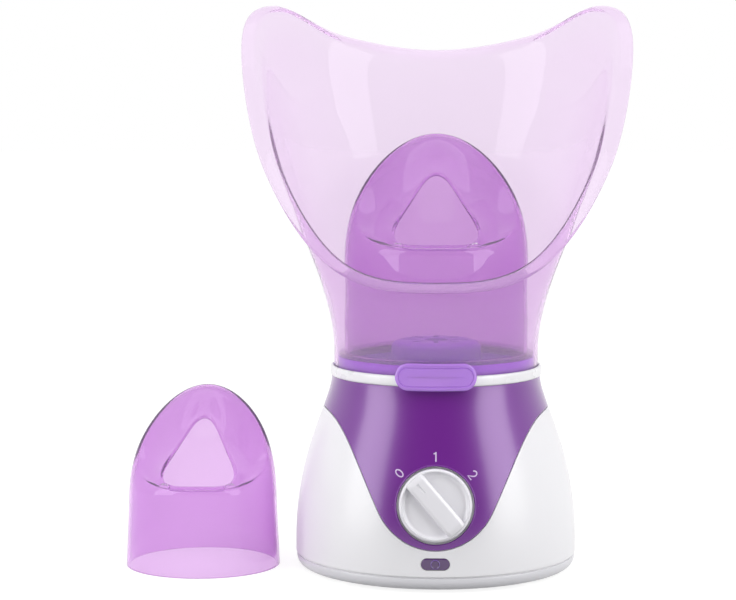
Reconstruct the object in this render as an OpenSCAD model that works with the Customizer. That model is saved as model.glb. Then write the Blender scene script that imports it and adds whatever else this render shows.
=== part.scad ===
// Table-top facial steamer: round casing, heated water cup, clear face mask, nose hood and a spare nasal mask.
// Millimetres. The origin is on the table under the middle of the base, +Z is up and the front is -Y.

/* [Casing] */
// Widest radius of the casing
base_r = 70.5; // [66:0.5:76]
// Radius of the casing under the collar
neck_r = 52.3; // [51:0.1:54]
// Height of the casing's top edge
casing_top = 97.3; // [90:0.1:110]
// Height up to which the casing's side is upright
upright_top = 14; // [12:0.5:18]
// Wall of the casing, with the front cover's seat in it
casing_wall = 3.2; // [2.8:0.1:4]
// Thickness of the front cover
cover_wall = 1.5; // [1.2:0.1:2]
// Height of the seam over the bottom cover
seam_z = 7.5; // [6.5:0.1:9]
// Height of the feet under the bottom cover
foot_drop = 1.5; // [1:0.1:3]
// Thickness of the bottom plate
floor_t = 2.5; // [2:0.1:3.5]

/* [Front cover] */
// Radius of the round tongue about the knob
tongue_r = 21.9; // [20:0.1:24]
// Height of the cover's lower edge at the sides
shoulder_z = 81.5; // [78:0.1:86]
// Gap round the cover in its seat
cover_gap = 0.2; // [0.1:0.05:0.4]

/* [Knob] */
// Height of the knob's centre
knob_z = 42.7; // [40:0.1:46]
// Radius of the knob
knob_r = 17.5; // [15:0.1:18]
// How far the knob's rim stands out of the cover
knob_out = 5.2; // [4:0.1:8]
// How far the grip bar stands over the rim
grip_h = 1.6; // [1:0.1:4]
// Turn of the pointer at rest, from straight up
pointer_deg = -41; // [-50:1:-30]
// Radius of the switch shaft
shaft_r = 3; // [2.5:0.1:3.5]

/* [Collar and cup] */
// Outer radius of the collar ring
collar_r = 53; // [52.5:0.1:55]
// Height of the collar's visible band
collar_h = 5.2; // [4:0.1:8]
// Height of the collar's inner ridge over the band
ridge_h = 4.5; // [3:0.1:6]
// Inner radius of the water cup
cup_r = 33; // [30:0.5:34]
// Depth of the water cup
cup_depth = 30; // [20:0.5:34]
// Wall of the water cup
cup_wall = 1.2; // [1:0.1:1.6]

/* [Face mask] */
// Outer radius of the mask's neck
mask_neck_r = 51.25; // [51:0.05:51.6]
// Wall of the mask
mask_wall = 1.6; // [1.2:0.1:1.8]
// Half the width over the ears
mask_half_w = 98; // [90:0.5:104]
// Half the depth of the rim
mask_half_d = 70; // [64:0.5:76]
// How far the rim's middle lies behind the axis
mask_back = 10; // [0:0.5:16]
// Width of the rim flange
flange_w = 8; // [5:0.5:10]
// Slope of the rim flange from front to back
flange_deg = 39; // [30:1:45]
// Height of the rim's front edge
rim_front_z = 143; // [135:1:150]
// Height of the ears
rim_ear_z = 281; // [260:1:290]
// Length of the thumb tab
tab_w = 41; // [30:1:50]
// Height of the thumb tab
tab_h = 13.4; // [10:0.1:16]
// Thickness of the thumb tab
tab_t = 2.6; // [2:0.1:4]

/* [Nose hood] */
// Outer radius of the nose hood
hood_r = 46; // [42:0.1:46.1]
// Height of the hood's front rim over the table
hood_front_z = 165; // [150:0.5:170]
// Height of the hood's back rim over its front rim
hood_rise = 52; // [40:0.5:54]

/* [Nasal mask] */
// Outer radius of the loose nasal mask at its foot
nasal_r = 39; // [36:0.1:42]
// Height of the loose nasal mask's front rim
nasal_front_z = 44.5; // [42:0.5:50]
// Height of its back rim over its front rim
nasal_rise = 43; // [34:0.5:45]
// Distance of the loose nasal mask from the base's axis
nasal_x = 118; // [115:1:140]

/* [Hidden] */
$fn = 96;

clear = 0.3;          // gap between pieces that lift apart
run_gap = 0.05;       // radial gap of the turning shaft
eps = 0.01;
big = 200;

// ---- curves ----

// Point at t on a cubic curve with four control points.
function bezier(p, t) =
  pow(1 - t, 3) * p[0] + 3 * pow(1 - t, 2) * t * p[1] + 3 * (1 - t) * t * t * p[2] + pow(t, 3) * p[3];

// A polyline's points moved sideways, to the left of its direction.
function shifted(p, d) = [
  for (i = [0:len(p) - 1])
    let (
      a = p[max(i - 1, 0)],
      b = p[min(i + 1, len(p) - 1)],
      u = (b - a) / norm(b - a)
    )
    p[i] + d * [-u[1], u[0]]
];

function mirrored(p) = [for (i = [len(p) - 1:-1:0]) [-p[i][0], p[i][1]]];
function backwards(p) = [for (i = [len(p) - 1:-1:0]) p[i]];
function unit(v) = v / norm(v);

// Smooth curve through values given every 30 degrees from the front (0) to the back (180), the same both ways.
function round_spline(v, t) =
  let (
    s = abs(t > 180 ? 360 - t : t) / 30,
    i = min(floor(s), 5),
    u = s - i,
    a = v[abs(i - 1)],
    b = v[i],
    c = v[i + 1],
    d = i + 2 > 6 ? v[5] : v[i + 2]
  )
  0.5 * (2 * b + (c - a) * u + (2 * a - 5 * b + 4 * c - d) * u * u + (3 * b - a - 3 * c + d) * u * u * u);

// ---- casing ----

flank_steps = 20;
flank = [
  for (i = [0:flank_steps])
    bezier(
      [[base_r, upright_top], [base_r, 60], [neck_r, 84], [neck_r, casing_top]],
      i / flank_steps
    )
];
flank_low = concat([[base_r, seam_z]], flank);

// Closed profile between two depths under the casing's outer face.
function wall_profile(outer, inner) =
  concat(shifted(flank_low, outer), backwards(shifted(flank_low, inner)));

// Radius of the casing's outer face at height z.
function casing_radius(z) = z <= upright_top ? base_r : lookup(z, [for (p = flank) [p[1], p[0]]]);

seat_depth = cover_wall + 0.1;
deck_top = casing_top - 6;
deck_t = 2.5;
deck_hole_r = cup_r + cup_wall + 3;
groove_h = 0.6;
groove_d = 1;
boss_r = 4.5;
boss_ring_r = base_r - casing_wall - 3.8;
boss_h = 14;
screw_turn = 45;

// ---- front cover's outline ----

arc_half = 50;
shoulder_x = casing_radius(shoulder_z);
arc_end = [tongue_r * sin(arc_half), knob_z - tongue_r * cos(arc_half)];
outline_right = concat(
  [for (a = [5:5:arc_half - 5]) [tongue_r * sin(a), knob_z - tongue_r * cos(a)]],
  [
    for (i = [0:12])
      bezier(
        [
          arc_end,
          arc_end + 30 * [cos(arc_half), sin(arc_half)],
          [shoulder_x - 10.6, shoulder_z],
          [shoulder_x, shoulder_z]
        ],
        i / 12
      )
  ],
  [[big / 2, shoulder_z]]
);
front_outline = concat(mirrored(outline_right), [[0, knob_z - tongue_r]], outline_right);
back_run = 46;
edge_lap = 0.5;
back_edge = concat(
  [[-edge_lap, shoulder_z]],
  [
    for (i = [0:8])
      bezier(
        [
          [0, shoulder_z],
          [back_run / 2, shoulder_z],
          [back_run - 6, casing_top - 4],
          [back_run + 2, casing_top + 2]
        ],
        i / 8
      )
  ]
);

// Space outside the front cover's edge, with the edge drawn in by gap.
module round_the_cover(gap) {
  front = shifted(front_outline, gap);
  back = shifted(back_edge, gap);
  union() {
    rotate([90, 0, 0])
      linear_extrude(big)
        polygon(concat([[-big / 2, -1], [big / 2, -1]], backwards(front)));
    translate([-big / 2, 0, 0])
      rotate([90, 0, 90])
        linear_extrude(big)
          polygon(concat(back, [[big, casing_top + 2], [big, -1], [-edge_lap, -1]]));
  }
}

// ---- places on the front ----

knob_tilt = 10.4;
// Moves children to the knob's centre on the casing, with +Z pointing out of it.
module at_knob() {
  translate([0, -casing_radius(knob_z) - 0.4, knob_z])
    rotate([90 - knob_tilt, 0, 0])
      children();
}

pocket_r = knob_r + 1;
pocket_floor = -4.5;
pocket_floor_t = 2;
bush_r = 4.5;
bush_gap = 0.1;

lamp_z = 14.6;
lamp_w = 15;
lamp_h = 6;
lamp_hole_r = 2.25;
// A pill w wide and h high, pushed t along -Y from y.
module pill(w, h, y, t) {
  translate([0, y, 0])
    rotate([90, 0, 0])
      linear_extrude(t)
        union() {
          square([w - h, h], center = true);
          for (s = [-1, 1])
            translate([s * (w - h) / 2, 0])
              circle(r = h / 2);
        }
}

// ---- cord gland at the back ----

gland_z = 20;
gland_hole_r = 6;
gland_bore_r = 3.3;
gland_len = 18;
// Moves children to the gland on the casing's back, with +Z pointing out of it.
module at_gland() {
  translate([0, base_r, gland_z])
    rotate([-90, 0, 0])
      children();
}

// ---- screws and wires ----

// A screw whose head's underside is at the origin and whose shank runs up +Z.
module screw(shank_r, length, head_r, head_h) {
  difference() {
    union() {
      translate([0, 0, -eps])
        cylinder(r = shank_r, h = length + eps);
      translate([0, 0, -head_h])
        cylinder(r = head_r, h = head_h);
    }
    for (a = [0, 90])
      rotate([0, 0, a])
        translate([-head_r * 0.6, -0.4, -head_h - eps])
          cube([head_r * 1.2, 0.8, head_h * 0.6]);
  }
}

// Repeats children at count places on a ring, the first turned by start degrees.
module around(count, radius, start = 0) {
  for (i = [0:count - 1])
    rotate([0, 0, start + i * 360 / count])
      translate([radius, 0, 0])
        children();
}

wire_r = 0.9;
wire_sides = 8;
// A wire along a list of points.
module wire(p) {
  n = len(p);
  rings = [
    for (i = [0:n - 1])
      let (
        u = unit(p[min(i + 1, n - 1)] - p[max(i - 1, 0)]),
        side = unit(cross(u, abs(u[2]) > 0.9 ? [1, 0, 0] : [0, 0, 1])),
        up = cross(side, u)
      )
      [for (k = [0:wire_sides - 1]) p[i] + wire_r * (cos(k * 45) * side + sin(k * 45) * up)]
  ];
  polyhedron(
    [for (r = rings) each r],
    concat(
      [[for (k = [wire_sides - 1:-1:0]) k]],
      [
        for (i = [0:n - 2], k = [0:wire_sides - 1])
          each let (
            a = i * wire_sides + k,
            b = i * wire_sides + (k + 1) % wire_sides
          )
          [[a, b, a + wire_sides], [b, b + wire_sides, a + wire_sides]]
      ],
      [[for (k = [0:wire_sides - 1]) (n - 1) * wire_sides + k]]
    )
  );
}

// Smooth wire through four control points.
module bent_wire(p) {
  wire([for (i = [0:12]) bezier(p, i / 12)]);
}

// ---- shells made of rings of points ----

// Closed skin over rings of equal length: round each ring, and from each ring to the next, back to the first.
module ring_skin(rings) {
  n = len(rings);
  m = len(rings[0]);
  polyhedron(
    [for (r = rings) each r],
    [
      for (i = [0:n - 1], j = [0:m - 1])
        each let (
          a = i * m + j,
          b = i * m + (j + 1) % m,
          c = ((i + 1) % n) * m + j,
          d = ((i + 1) % n) * m + (j + 1) % m
        )
        [[a, b, c], [b, d, c]]
    ]
  );
}

// ---- face mask ----

mask_foot_z = casing_top + 1.5;
neck_top_z = casing_top + 14;
rim_values = [
  rim_front_z,
  rim_front_z + 10,
  rim_front_z + 0.42 * (rim_ear_z - rim_front_z),
  rim_front_z + 0.87 * (rim_ear_z - rim_front_z),
  rim_ear_z,
  rim_ear_z - 15,
  rim_ear_z - 22
];

function rim_out(t) = [sin(t), -cos(t) * cos(flange_deg), -cos(t) * sin(flange_deg)];
function rim_edge(t) = [mask_half_w * sin(t), mask_back - mask_half_d * cos(t), round_spline(rim_values, t)];
function rim_root(t) = rim_edge(t) - flange_w * rim_out(t);

// Point on the mask's outer wall: t round from the front, s from the neck (0) to the root of the flange (1).
function mask_point(t, s) =
  let (
    a = [mask_neck_r * sin(t), -mask_neck_r * cos(t), neck_top_z],
    d = rim_root(t) - a
  )
  bezier(
    [
      a,
      a + [0, 0, 0.16 * d[2]],
      a + [0.53 * d[0], 0.53 * d[1], 0.49 * d[2]],
      a + d
    ],
    s
  );
function mask_normal(t, s) =
  let (
    u = mask_point(t + 1, s) - mask_point(t - 1, s),
    v = mask_point(t, min(s + 0.01, 1)) - mask_point(t, max(s - 0.01, 0))
  )
  unit(cross(u, v));

mask_rows = 10;
flange_t = 1.8;
function mask_ring(t) =
  let (
    over = unit(cross(rim_out(t), rim_out(t + 90)))
  )
  concat(
    [[mask_neck_r * sin(t), -mask_neck_r * cos(t), mask_foot_z]],
    [for (i = [0:mask_rows]) mask_point(t, i / mask_rows)],
    [
      rim_root(t) + (flange_w - 1) * rim_out(t) - 0.2 * over,
      rim_edge(t) + 0.5 * flange_t * over,
      rim_root(t) + (flange_w - 1) * rim_out(t) + flange_t * over,
      rim_root(t) + flange_t * over
    ],
    [for (i = [mask_rows - 1:-1:0]) mask_point(t, i / mask_rows) - mask_wall * mask_normal(t, i / mask_rows)],
    [[(mask_neck_r - mask_wall) * sin(t), -(mask_neck_r - mask_wall) * cos(t), mask_foot_z]]
  );

// ---- nose hood and nasal mask ----

// A hood standing at z = 0: [outer radius, foot radius, front rim height, rise to the back rim, radius of the
// front roll, reach of the window's sides, slope of the window in degrees].
hood_wall = 1.6;
window_q = 2.56;
window_front = 0.6;
window_turn = 112.3;
window_back = 0.294;
window_drop = 0.7;
crest_power = 1.8;
crest_lean = 30;
function back_part(t) = (1 - cos(t)) / 2;
// Distance from the window's middle to its rounded triangular edge, for a hood of radius 1.
function window_reach(t, side) =
  pow(
    pow(max(0, cos(t)) / window_front, window_q) + pow(max(0, cos(t - window_turn)) / side, window_q)
    + pow(max(0, cos(t + window_turn)) / side, window_q),
    -1 / window_q
  );

// Point on a hood's outer face: t round from the front; s runs up the wall to 1, over the crest to 2 and in to the
// window's edge at 3.
function hood_point(h, t, s) =
  let (
    r = h[0],
    foot = h[1],
    k = back_part(t),
    roll = h[4] * (1 + k),
    lean = roll + (crest_lean - roll) * pow(1 - pow(1 - k, 3), 2),
    top_z = h[2] + h[3] * pow(k, crest_power),
    radial = [sin(t), -cos(t)],
    slope = h[6],
    w = r * window_reach(t, h[5]),
    edge = [
      w * sin(t),
      -window_back * r - w * cos(t) * cos(slope),
      h[2] - window_drop + (window_front * r - w * cos(t)) * sin(slope)
    ],
    top = [(r - roll) * radial[0], (r - roll) * radial[1], top_z],
    run = norm([top[0] - edge[0], top[1] - edge[1]])
  )
  s <= 1 ? [
      (foot + (r - foot) * s) * radial[0],
      (foot + (r - foot) * s) * radial[1],
      (top_z - lean) * s
    ]
  : s <= 2 ? [
      (r - roll + roll * cos(90 * (s - 1))) * radial[0],
      (r - roll + roll * cos(90 * (s - 1))) * radial[1],
      top_z - lean + lean * sin(90 * (s - 1))
    ]
  : bezier(
      [
        top,
        top - [0.45 * run * radial[0], 0.45 * run * radial[1], 0],
        edge + (top - edge) * 0.3 + [0, 0, -0.04 * r],
        edge
      ],
      s - 2
    );
function hood_normal(h, t, s) =
  let (
    u = hood_point(h, t + 1, s) - hood_point(h, t - 1, s),
    v = hood_point(h, t, min(s + 0.02, 3)) - hood_point(h, t, max(s - 0.02, 0))
  )
  unit(cross(u, v));

hood_steps = [0, 0.25, 0.5, 0.75, 1, 1.2, 1.4, 1.6, 1.8, 2, 2.25, 2.5, 2.75, 3];
function hood_ring(h, t) = concat(
  [for (s = hood_steps) hood_point(h, t, s)],
  [
    for (s = backwards(hood_steps))
      hood_point(h, t, s) - hood_wall * (s == 0 ? [sin(t), -cos(t), 0] : hood_normal(h, t, s))
  ]
);
module hood_shell(h) {
  ring_skin([for (t = [0:6:354]) hood_ring(h, t)]);
}

ridge_top = casing_top + collar_h + ridge_h;
ridge_r = mask_neck_r - mask_wall - 0.7;
ridge_wall = 2.4;

// ---- sub-parts ----

module casing() {
  color("white")
    difference() {
      union() {
        difference() {
          union() {
            rotate_extrude()
              polygon(wall_profile(0, casing_wall));
            // cup behind the knob
            at_knob()
              translate([0, 0, pocket_floor - pocket_floor_t])
                cylinder(r = pocket_r + 2, h = pocket_floor_t + 3);
          }
          // seat of the front cover
          difference() {
            rotate_extrude()
              polygon(wall_profile(-2, seat_depth));
            round_the_cover(0);
          }
          // shadow groove over the bottom cover
          difference() {
            translate([0, 0, seam_z - eps])
              cylinder(r = base_r + 1, h = groove_h);
            cylinder(r = base_r - groove_d, h = big);
          }
          at_knob() {
            translate([0, 0, pocket_floor])
              cylinder(r = pocket_r, h = 30);
            cylinder(r = bush_r + bush_gap, h = big, center = true);
          }
        }
        // deck that carries the water cup and the collar
        difference() {
          translate([0, 0, deck_top - deck_t])
            cylinder(r = casing_radius(deck_top) - casing_wall + 1, h = deck_t);
          cylinder(r = deck_hole_r, h = big);
        }
        // bosses for the bottom screws
        around(4, boss_ring_r, screw_turn)
          translate([0, 0, seam_z])
            cylinder(r = boss_r, h = boss_h);
      }
      around(4, boss_ring_r, screw_turn)
        cylinder(r = 1.3, h = seam_z + boss_h - 2);
      around(4, screw_ring_r, 0)
        cylinder(r = 1.7, h = big);
      translate([0, 0, lamp_z])
        pill(lamp_w, lamp_h, -base_r + 10, 20);
      at_gland()
        cylinder(r = gland_hole_r, h = 30, center = true);
    }
}

screw_ring_r = cup_r + cup_wall + 8.6;

module front_cover() {
  color("indigo")
    difference() {
      rotate_extrude()
        polygon(concat(flank, backwards(shifted(flank, cover_wall))));
      round_the_cover(cover_gap);
      at_knob()
        cylinder(r = pocket_r, h = 60, center = true);
    }
}

plate_r = base_r - 4.5;
foot_r = 6.5;
foot_ring_r = 55;
foot_turn = 36;
foot_places = [foot_turn, 180 - foot_turn, 180 + foot_turn, 360 - foot_turn];
foot_pocket = 1;
well_r = 3.6;

module bottom_cover() {
  color("gainsboro")
    difference() {
      rotate_extrude()
        polygon(
          concat(
            [[0, foot_drop], [plate_r, foot_drop]],
            [for (a = [15:15:90]) [plate_r + 4.2 * sin(a), seam_z - 1.2 - (seam_z - 1.2 - foot_drop) * cos(a)]],
            [
              [base_r - 0.3, seam_z],
              [base_r - casing_wall - 0.2, seam_z],
              [base_r - casing_wall - 0.2, seam_z + 2.5],
              [base_r - casing_wall - 2, seam_z + 2.5],
              [base_r - casing_wall - 2, foot_drop + floor_t],
              [0, foot_drop + floor_t]
            ]
          )
        );
      for (a = foot_places)
        rotate([0, 0, a])
          translate([foot_ring_r, 0, 0])
            cylinder(r = foot_r + 0.1, h = foot_drop + foot_pocket);
      // screw holes, with room for the casing's bosses above
      around(4, boss_ring_r, screw_turn) {
        cylinder(r = 1.7, h = big);
        cylinder(r = 2.9, h = foot_drop + 1.6);
        translate([0, 0, seam_z])
          cylinder(r = boss_r + 0.2, h = big);
      }
    }
}

module rubber_feet() {
  color("silver")
    for (a = foot_places)
      rotate([0, 0, a])
        translate([foot_ring_r, 0, 0])
          rotate_extrude()
            polygon([
              [0, 0],
              [foot_r - 0.8, 0],
              [foot_r - 0.2, 0.3],
              [foot_r, 0.9],
              [foot_r, foot_drop + foot_pocket],
              [0, foot_drop + foot_pocket]
            ]);
}

module cover_screws() {
  color("silver")
    around(4, boss_ring_r, screw_turn)
      translate([0, 0, foot_drop + 1.6])
        screw(1.3, 14, 2.7, 1.4);
}

web_top = casing_top;
web_t = 3;
module collar_ring() {
  band_top = casing_top + collar_h;
  skirt_r = neck_r - casing_wall - 0.2;
  color("white")
    difference() {
      union() {
        rotate_extrude()
          polygon([
            [cup_r + 1, web_top - web_t],
            [skirt_r, web_top - web_t],
            [skirt_r, casing_top],
            [collar_r - 0.6, casing_top],
            [collar_r, casing_top + 0.6],
            [collar_r, band_top - 0.8],
            [collar_r - 0.8, band_top],
            [mask_neck_r + clear, band_top],
            [mask_neck_r + clear, mask_foot_z - clear],
            [ridge_r, mask_foot_z - clear],
            [ridge_r, ridge_top],
            [ridge_r - ridge_wall, ridge_top],
            [ridge_r - ridge_wall, web_top],
            [cup_r + 1, web_top]
          ]);
        around(4, screw_ring_r, 0)
          translate([0, 0, deck_top])
            cylinder(r = 3.2, h = web_top - web_t - deck_top + eps);
      }
      around(4, screw_ring_r, 0)
        translate([0, 0, deck_top - eps])
          cylinder(r = 1.2, h = 4.6);
    }
}

module collar_screws() {
  color("silver")
    around(4, screw_ring_r, 0)
      translate([0, 0, deck_top - deck_t])
        screw(1.2, deck_t + 4.4, 2.6, 1.6);
}

cup_flange_r = cup_r + cup_wall + 4;
cup_flange_top = deck_top + 1.5;
cup_floor_z = cup_flange_top - cup_depth;
pad_r = 22;
stud_x = 26;
module heating_cup() {
  color("silver")
    difference() {
      union() {
        rotate_extrude()
          polygon([
            [0, cup_floor_z - cup_wall],
            [cup_r - 5, cup_floor_z - cup_wall],
            [cup_r - 1, cup_floor_z + 0.6],
            [cup_r + cup_wall, cup_floor_z + 5],
            [cup_r + cup_wall, deck_top],
            [cup_flange_r, deck_top],
            [cup_flange_r, cup_flange_top],
            [cup_r, cup_flange_top],
            [cup_r, cup_floor_z + 5.5],
            [cup_r - 2, cup_floor_z + 1.8],
            [cup_r - 5.5, cup_floor_z],
            [0, cup_floor_z]
          ]);
        for (s = [-1, 1])
          translate([s * stud_x, 0, heater_z - 1])
            cylinder(r = 2.6, h = cup_floor_z - cup_wall - heater_z + 1 + eps);
      }
      for (s = [-1, 1])
        translate([s * stud_x, 0, heater_z - 2])
          cylinder(r = 1.2, h = 5);
    }
}

module cup_seal() {
  color("ivory")
    rotate_extrude()
      translate([cup_flange_r - 3, cup_flange_top])
        square([3, web_top - web_t - cup_flange_top]);
}

heater_t = 5;
heater_z = cup_floor_z - cup_wall - heater_t;
module heater_plate() {
  color("dimgray")
    translate([0, 0, heater_z])
      difference() {
        cylinder(r = pad_r, h = heater_t);
        translate([0, 0, heater_t / 2])
          rotate_extrude()
            translate([pad_r - 0.6, -0.8])
              square([2, 1.6]);
      }
}

clamp_t = 1.5;
module heater_clamp() {
  color("darkgray")
    difference() {
      union() {
        translate([-stud_x - 5, -8, heater_z - 1 - clamp_t])
          cube([2 * stud_x + 10, 16, clamp_t]);
        translate([-14, -8, heater_z - 1 - eps])
          cube([28, 16, 1 + eps]);
      }
      for (s = [-1, 1])
        translate([s * stud_x, 0, 0])
          cylinder(r = 1.6, h = big);
    }
}

clamp_z = heater_z - 1 - clamp_t;
module clamp_screws() {
  color("silver")
    for (s = [-1, 1])
      translate([s * stud_x, 0, clamp_z])
        screw(1.2, clamp_t + 4, 2.6, 1.6);
}

// Bimetal thermostat on the heater clamp.
module thermostat() {
  color("saddlebrown")
    translate([0, 0, clamp_z]) {
      rotate([180, 0, 0])
        cylinder(r = 7.5, h = 8);
      for (s = [-1, 1])
        translate([s * 4.5 - 1.5, -3.2, -13])
          cube([3, 0.8, 5 + eps]);
    }
}

// Thermal fuse in its sleeve, under the clamp's end.
module thermal_fuse() {
  color("khaki")
    translate([16, 0, clamp_z - 2.2])
      rotate([90, 0, 0])
        cylinder(r = 2.2, h = 13, center = true);
}

cap_r = 22.5;
cap_top = casing_top + 17.5;
cap_lid_t = 1.6;
module steam_cap() {
  color("indigo")
    difference() {
      rotate_extrude()
        polygon([
          [cap_r - 2, casing_top],
          [cap_r - 2, cap_top - 4],
          [cap_r - 5.5, cap_top - 1.8],
          [6, cap_top - 1.8],
          [6, cap_top],
          [cap_r - 5, cap_top],
          [cap_r - 1.6, cap_top - 1.2],
          [cap_r, cap_top - 4],
          [cap_r, casing_top + cap_lid_t],
          [cup_r + 5, casing_top + cap_lid_t],
          [cup_r + 5, casing_top]
        ]);
      // steam slots round the top
      for (a = [0:45:315])
        rotate([0, 0, a])
          translate([9, -1.25, cap_top - 4])
            cube([7, 2.5, 6]);
    }
}

// ---- knob and switch ----

grip_w = 10;
knob_skirt = 3.4;
module control_knob() {
  color("gainsboro")
    at_knob()
      rotate([0, 0, -pointer_deg])
        difference() {
          union() {
            rotate_extrude()
              polygon([
                [0, -knob_skirt],
                [knob_r, -knob_skirt],
                [knob_r, knob_out - 1.2],
                [knob_r - 0.9, knob_out],
                [knob_r - 2.2, knob_out],
                [knob_r - 3, knob_out - 0.8],
                [0, knob_out - 0.8]
              ]);
            // grip bar across the face
            translate([0, 0, knob_out - 1])
              intersection() {
                translate([-grip_w / 2, -knob_r, 0])
                  cube([grip_w, 2 * knob_r, grip_h + 1]);
                cylinder(r = knob_r - 1.6, h = grip_h + 1);
              }
          }
          // pointer groove near the bar's upper end
          translate([-0.5, knob_r - 8.5, knob_out + grip_h - 0.5])
            cube([1, 5, 2]);
          // hollow back round the hub
          difference() {
            translate([0, 0, -knob_skirt - eps])
              cylinder(r = knob_r - 2, h = knob_skirt + knob_out - 2.6);
            cylinder(r = shaft_r + 2.5, h = big, center = true);
          }
          translate([0, 0, -knob_skirt - 1])
            cylinder(r = shaft_r, h = knob_skirt + knob_out - 1.5);
          // room for the nut
          translate([0, 0, -knob_skirt - 1])
            cylinder(r = 8, h = 2.6);
        }
}

shaft_back = -18;
module switch_shaft() {
  color("silver")
    at_knob()
      translate([0, 0, shaft_back])
        cylinder(r = shaft_r, h = knob_out - 2.5 - shaft_back);
}

switch_front = pocket_floor - pocket_floor_t;
switch_t = 15;
switch_w = 24;
module rotary_switch() {
  color("black")
    at_knob() {
      difference() {
        union() {
          translate([-switch_w / 2, -switch_w / 2, switch_front - switch_t])
            cube([switch_w, switch_w, switch_t]);
          translate([0, 0, switch_front - eps])
            cylinder(r = bush_r, h = pocket_floor_t + 2 + eps);
        }
        translate([0, 0, shaft_back - clear])
          cylinder(r = shaft_r + run_gap, h = big);
      }
      // solder tags
      for (x = [-7, 0, 7])
        translate([x - 1.2, -0.4, switch_front - switch_t - 5])
          cube([2.4, 0.8, 5 + eps]);
    }
}

module switch_nut() {
  color("silver")
    at_knob()
      translate([0, 0, pocket_floor])
        difference() {
          cylinder(r = 6.9, h = 1.4, $fn = 6);
          cylinder(r = bush_r, h = big, center = true);
        }
}

// ---- indicator ----

lens_out = 0.3;
module indicator_lens() {
  color("purple")
    translate([0, 0, lamp_z])
      difference() {
        union() {
          pill(lamp_w - 0.2, lamp_h - 0.2, -base_r + casing_wall + 1.5, casing_wall + 1.5 + lens_out);
          pill(lamp_w + 3, lamp_h + 3, -base_r + casing_wall + 2.6, 1.85);
        }
        rotate([90, 0, 0])
          cylinder(r = lamp_hole_r, h = big);
      }
}

module lamp_bezel() {
  color("purple")
    translate([0, -base_r + casing_wall, lamp_z])
      rotate([90, 0, 0])
        rotate_extrude()
          polygon([
            [1.6, 0],
            [lamp_hole_r, 0],
            [lamp_hole_r, casing_wall + lens_out + 0.1],
            [1.9, casing_wall + lens_out + 0.3],
            [1.6, casing_wall + lens_out]
          ]);
}

module pilot_lamp() {
  color("orange")
    translate([0, -base_r + casing_wall + 12, lamp_z])
      rotate([90, 0, 0]) {
        cylinder(r = 1.6, h = 12 + casing_wall - 1.2);
        cylinder(r = 2.6, h = 8.8);
      }
}

// ---- mains side ----

block_y = 32;
block_w = 30;
block_d = 15;
block_h = 12;
block_z = foot_drop + floor_t;
module terminal_block() {
  color("ivory")
    difference() {
      translate([-block_w / 2, block_y - block_d / 2, block_z])
        cube([block_w, block_d, block_h]);
      for (x = [-10, 0, 10]) {
        translate([x, block_y, block_z + 2])
          cylinder(r = 2, h = block_h);
        translate([x, block_y, block_z + 6.5])
          rotate([90, 0, 0])
            cylinder(r = 1.5, h = block_d + 2, center = true);
      }
    }
}

module terminal_screws() {
  color("gold")
    for (x = [-10, 0, 10])
      translate([x, block_y, block_z + 2])
        cylinder(r = 1.9, h = block_h - 4);
}

module cord_gland() {
  color("whitesmoke")
    at_gland()
      rotate_extrude()
        polygon([
          [gland_bore_r, -gland_len + 8],
          [gland_hole_r - 0.1, -gland_len + 8],
          [gland_hole_r - 0.1, -casing_wall],
          [gland_hole_r - 0.1, 0.4],
          [gland_hole_r + 2.5, 0.4],
          [gland_hole_r + 2.5, 1.6],
          [gland_hole_r + 1, 2.6],
          [gland_bore_r + 1.6, 7.4],
          [gland_bore_r + 1, 8],
          [gland_bore_r, 8]
        ]);
}

module gland_nut() {
  color("whitesmoke")
    at_gland()
      translate([0, 0, -casing_wall - 4.1])
        difference() {
          cylinder(r = 9.5, h = 3, $fn = 6);
          cylinder(r = gland_hole_r - 0.1, h = big, center = true);
        }
}

// ---- wires ----

module supply_wires() {
  color("brown")
    for (x = [-10, 10])
      bent_wire([
        [0.2 * x / 2, base_r - gland_len + 7.5, gland_z + 0.1],
        [0.5 * x / 2, base_r - gland_len - 2, gland_z],
        [x, block_y + 16, block_z + 8],
        [x, block_y + block_d / 2 - 1, block_z + 6.5]
      ]);
}

module heater_wires() {
  color("white")
    for (s = [-1, 1])
      bent_wire([
        [s * 10, block_y - block_d / 2 + 1, block_z + 6.5],
        [s * 10, block_y - 28, block_z + 7],
        [s * 4.5, -2.8, clamp_z - 32],
        [s * 4.5, -2.8, clamp_z - 13.05]
      ]);
}

module lamp_wires() {
  color("red")
    for (s = [-1, 1])
      bent_wire([
        [s * 1.2, -base_r + casing_wall + 12.05, lamp_z],
        [s * 3, -base_r + casing_wall + 24, lamp_z - 2],
        [s * 12, -26, block_z + 4],
        [s * 3.5, block_y - block_d / 2 - 0.05, block_z + 3]
      ]);
}

// ---- masks ----

module face_mask() {
  color("plum") {
    union() {
      ring_skin([for (t = [0:6:354]) mask_ring(t)]);
      // thumb tab over the collar
      intersection() {
        rotate_extrude()
          polygon([
            [collar_r + 0.4, tab_low_z - 1],
            [collar_r + 0.4 + tab_t, tab_low_z - 1],
            [collar_r + 0.4 + tab_t, tab_low_z + tab_h + 1],
            [mask_neck_r - 0.8, tab_low_z + tab_h + 1],
            [mask_neck_r - 0.8, casing_top + collar_h + clear],
            [collar_r + 0.4, casing_top + collar_h + clear]
          ]);
        translate([0, 0, tab_low_z + tab_h / 2])
          pill(tab_w, tab_h, 0, big);
      }
    }
  }
}
tab_low_z = casing_top - 1.6;

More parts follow.
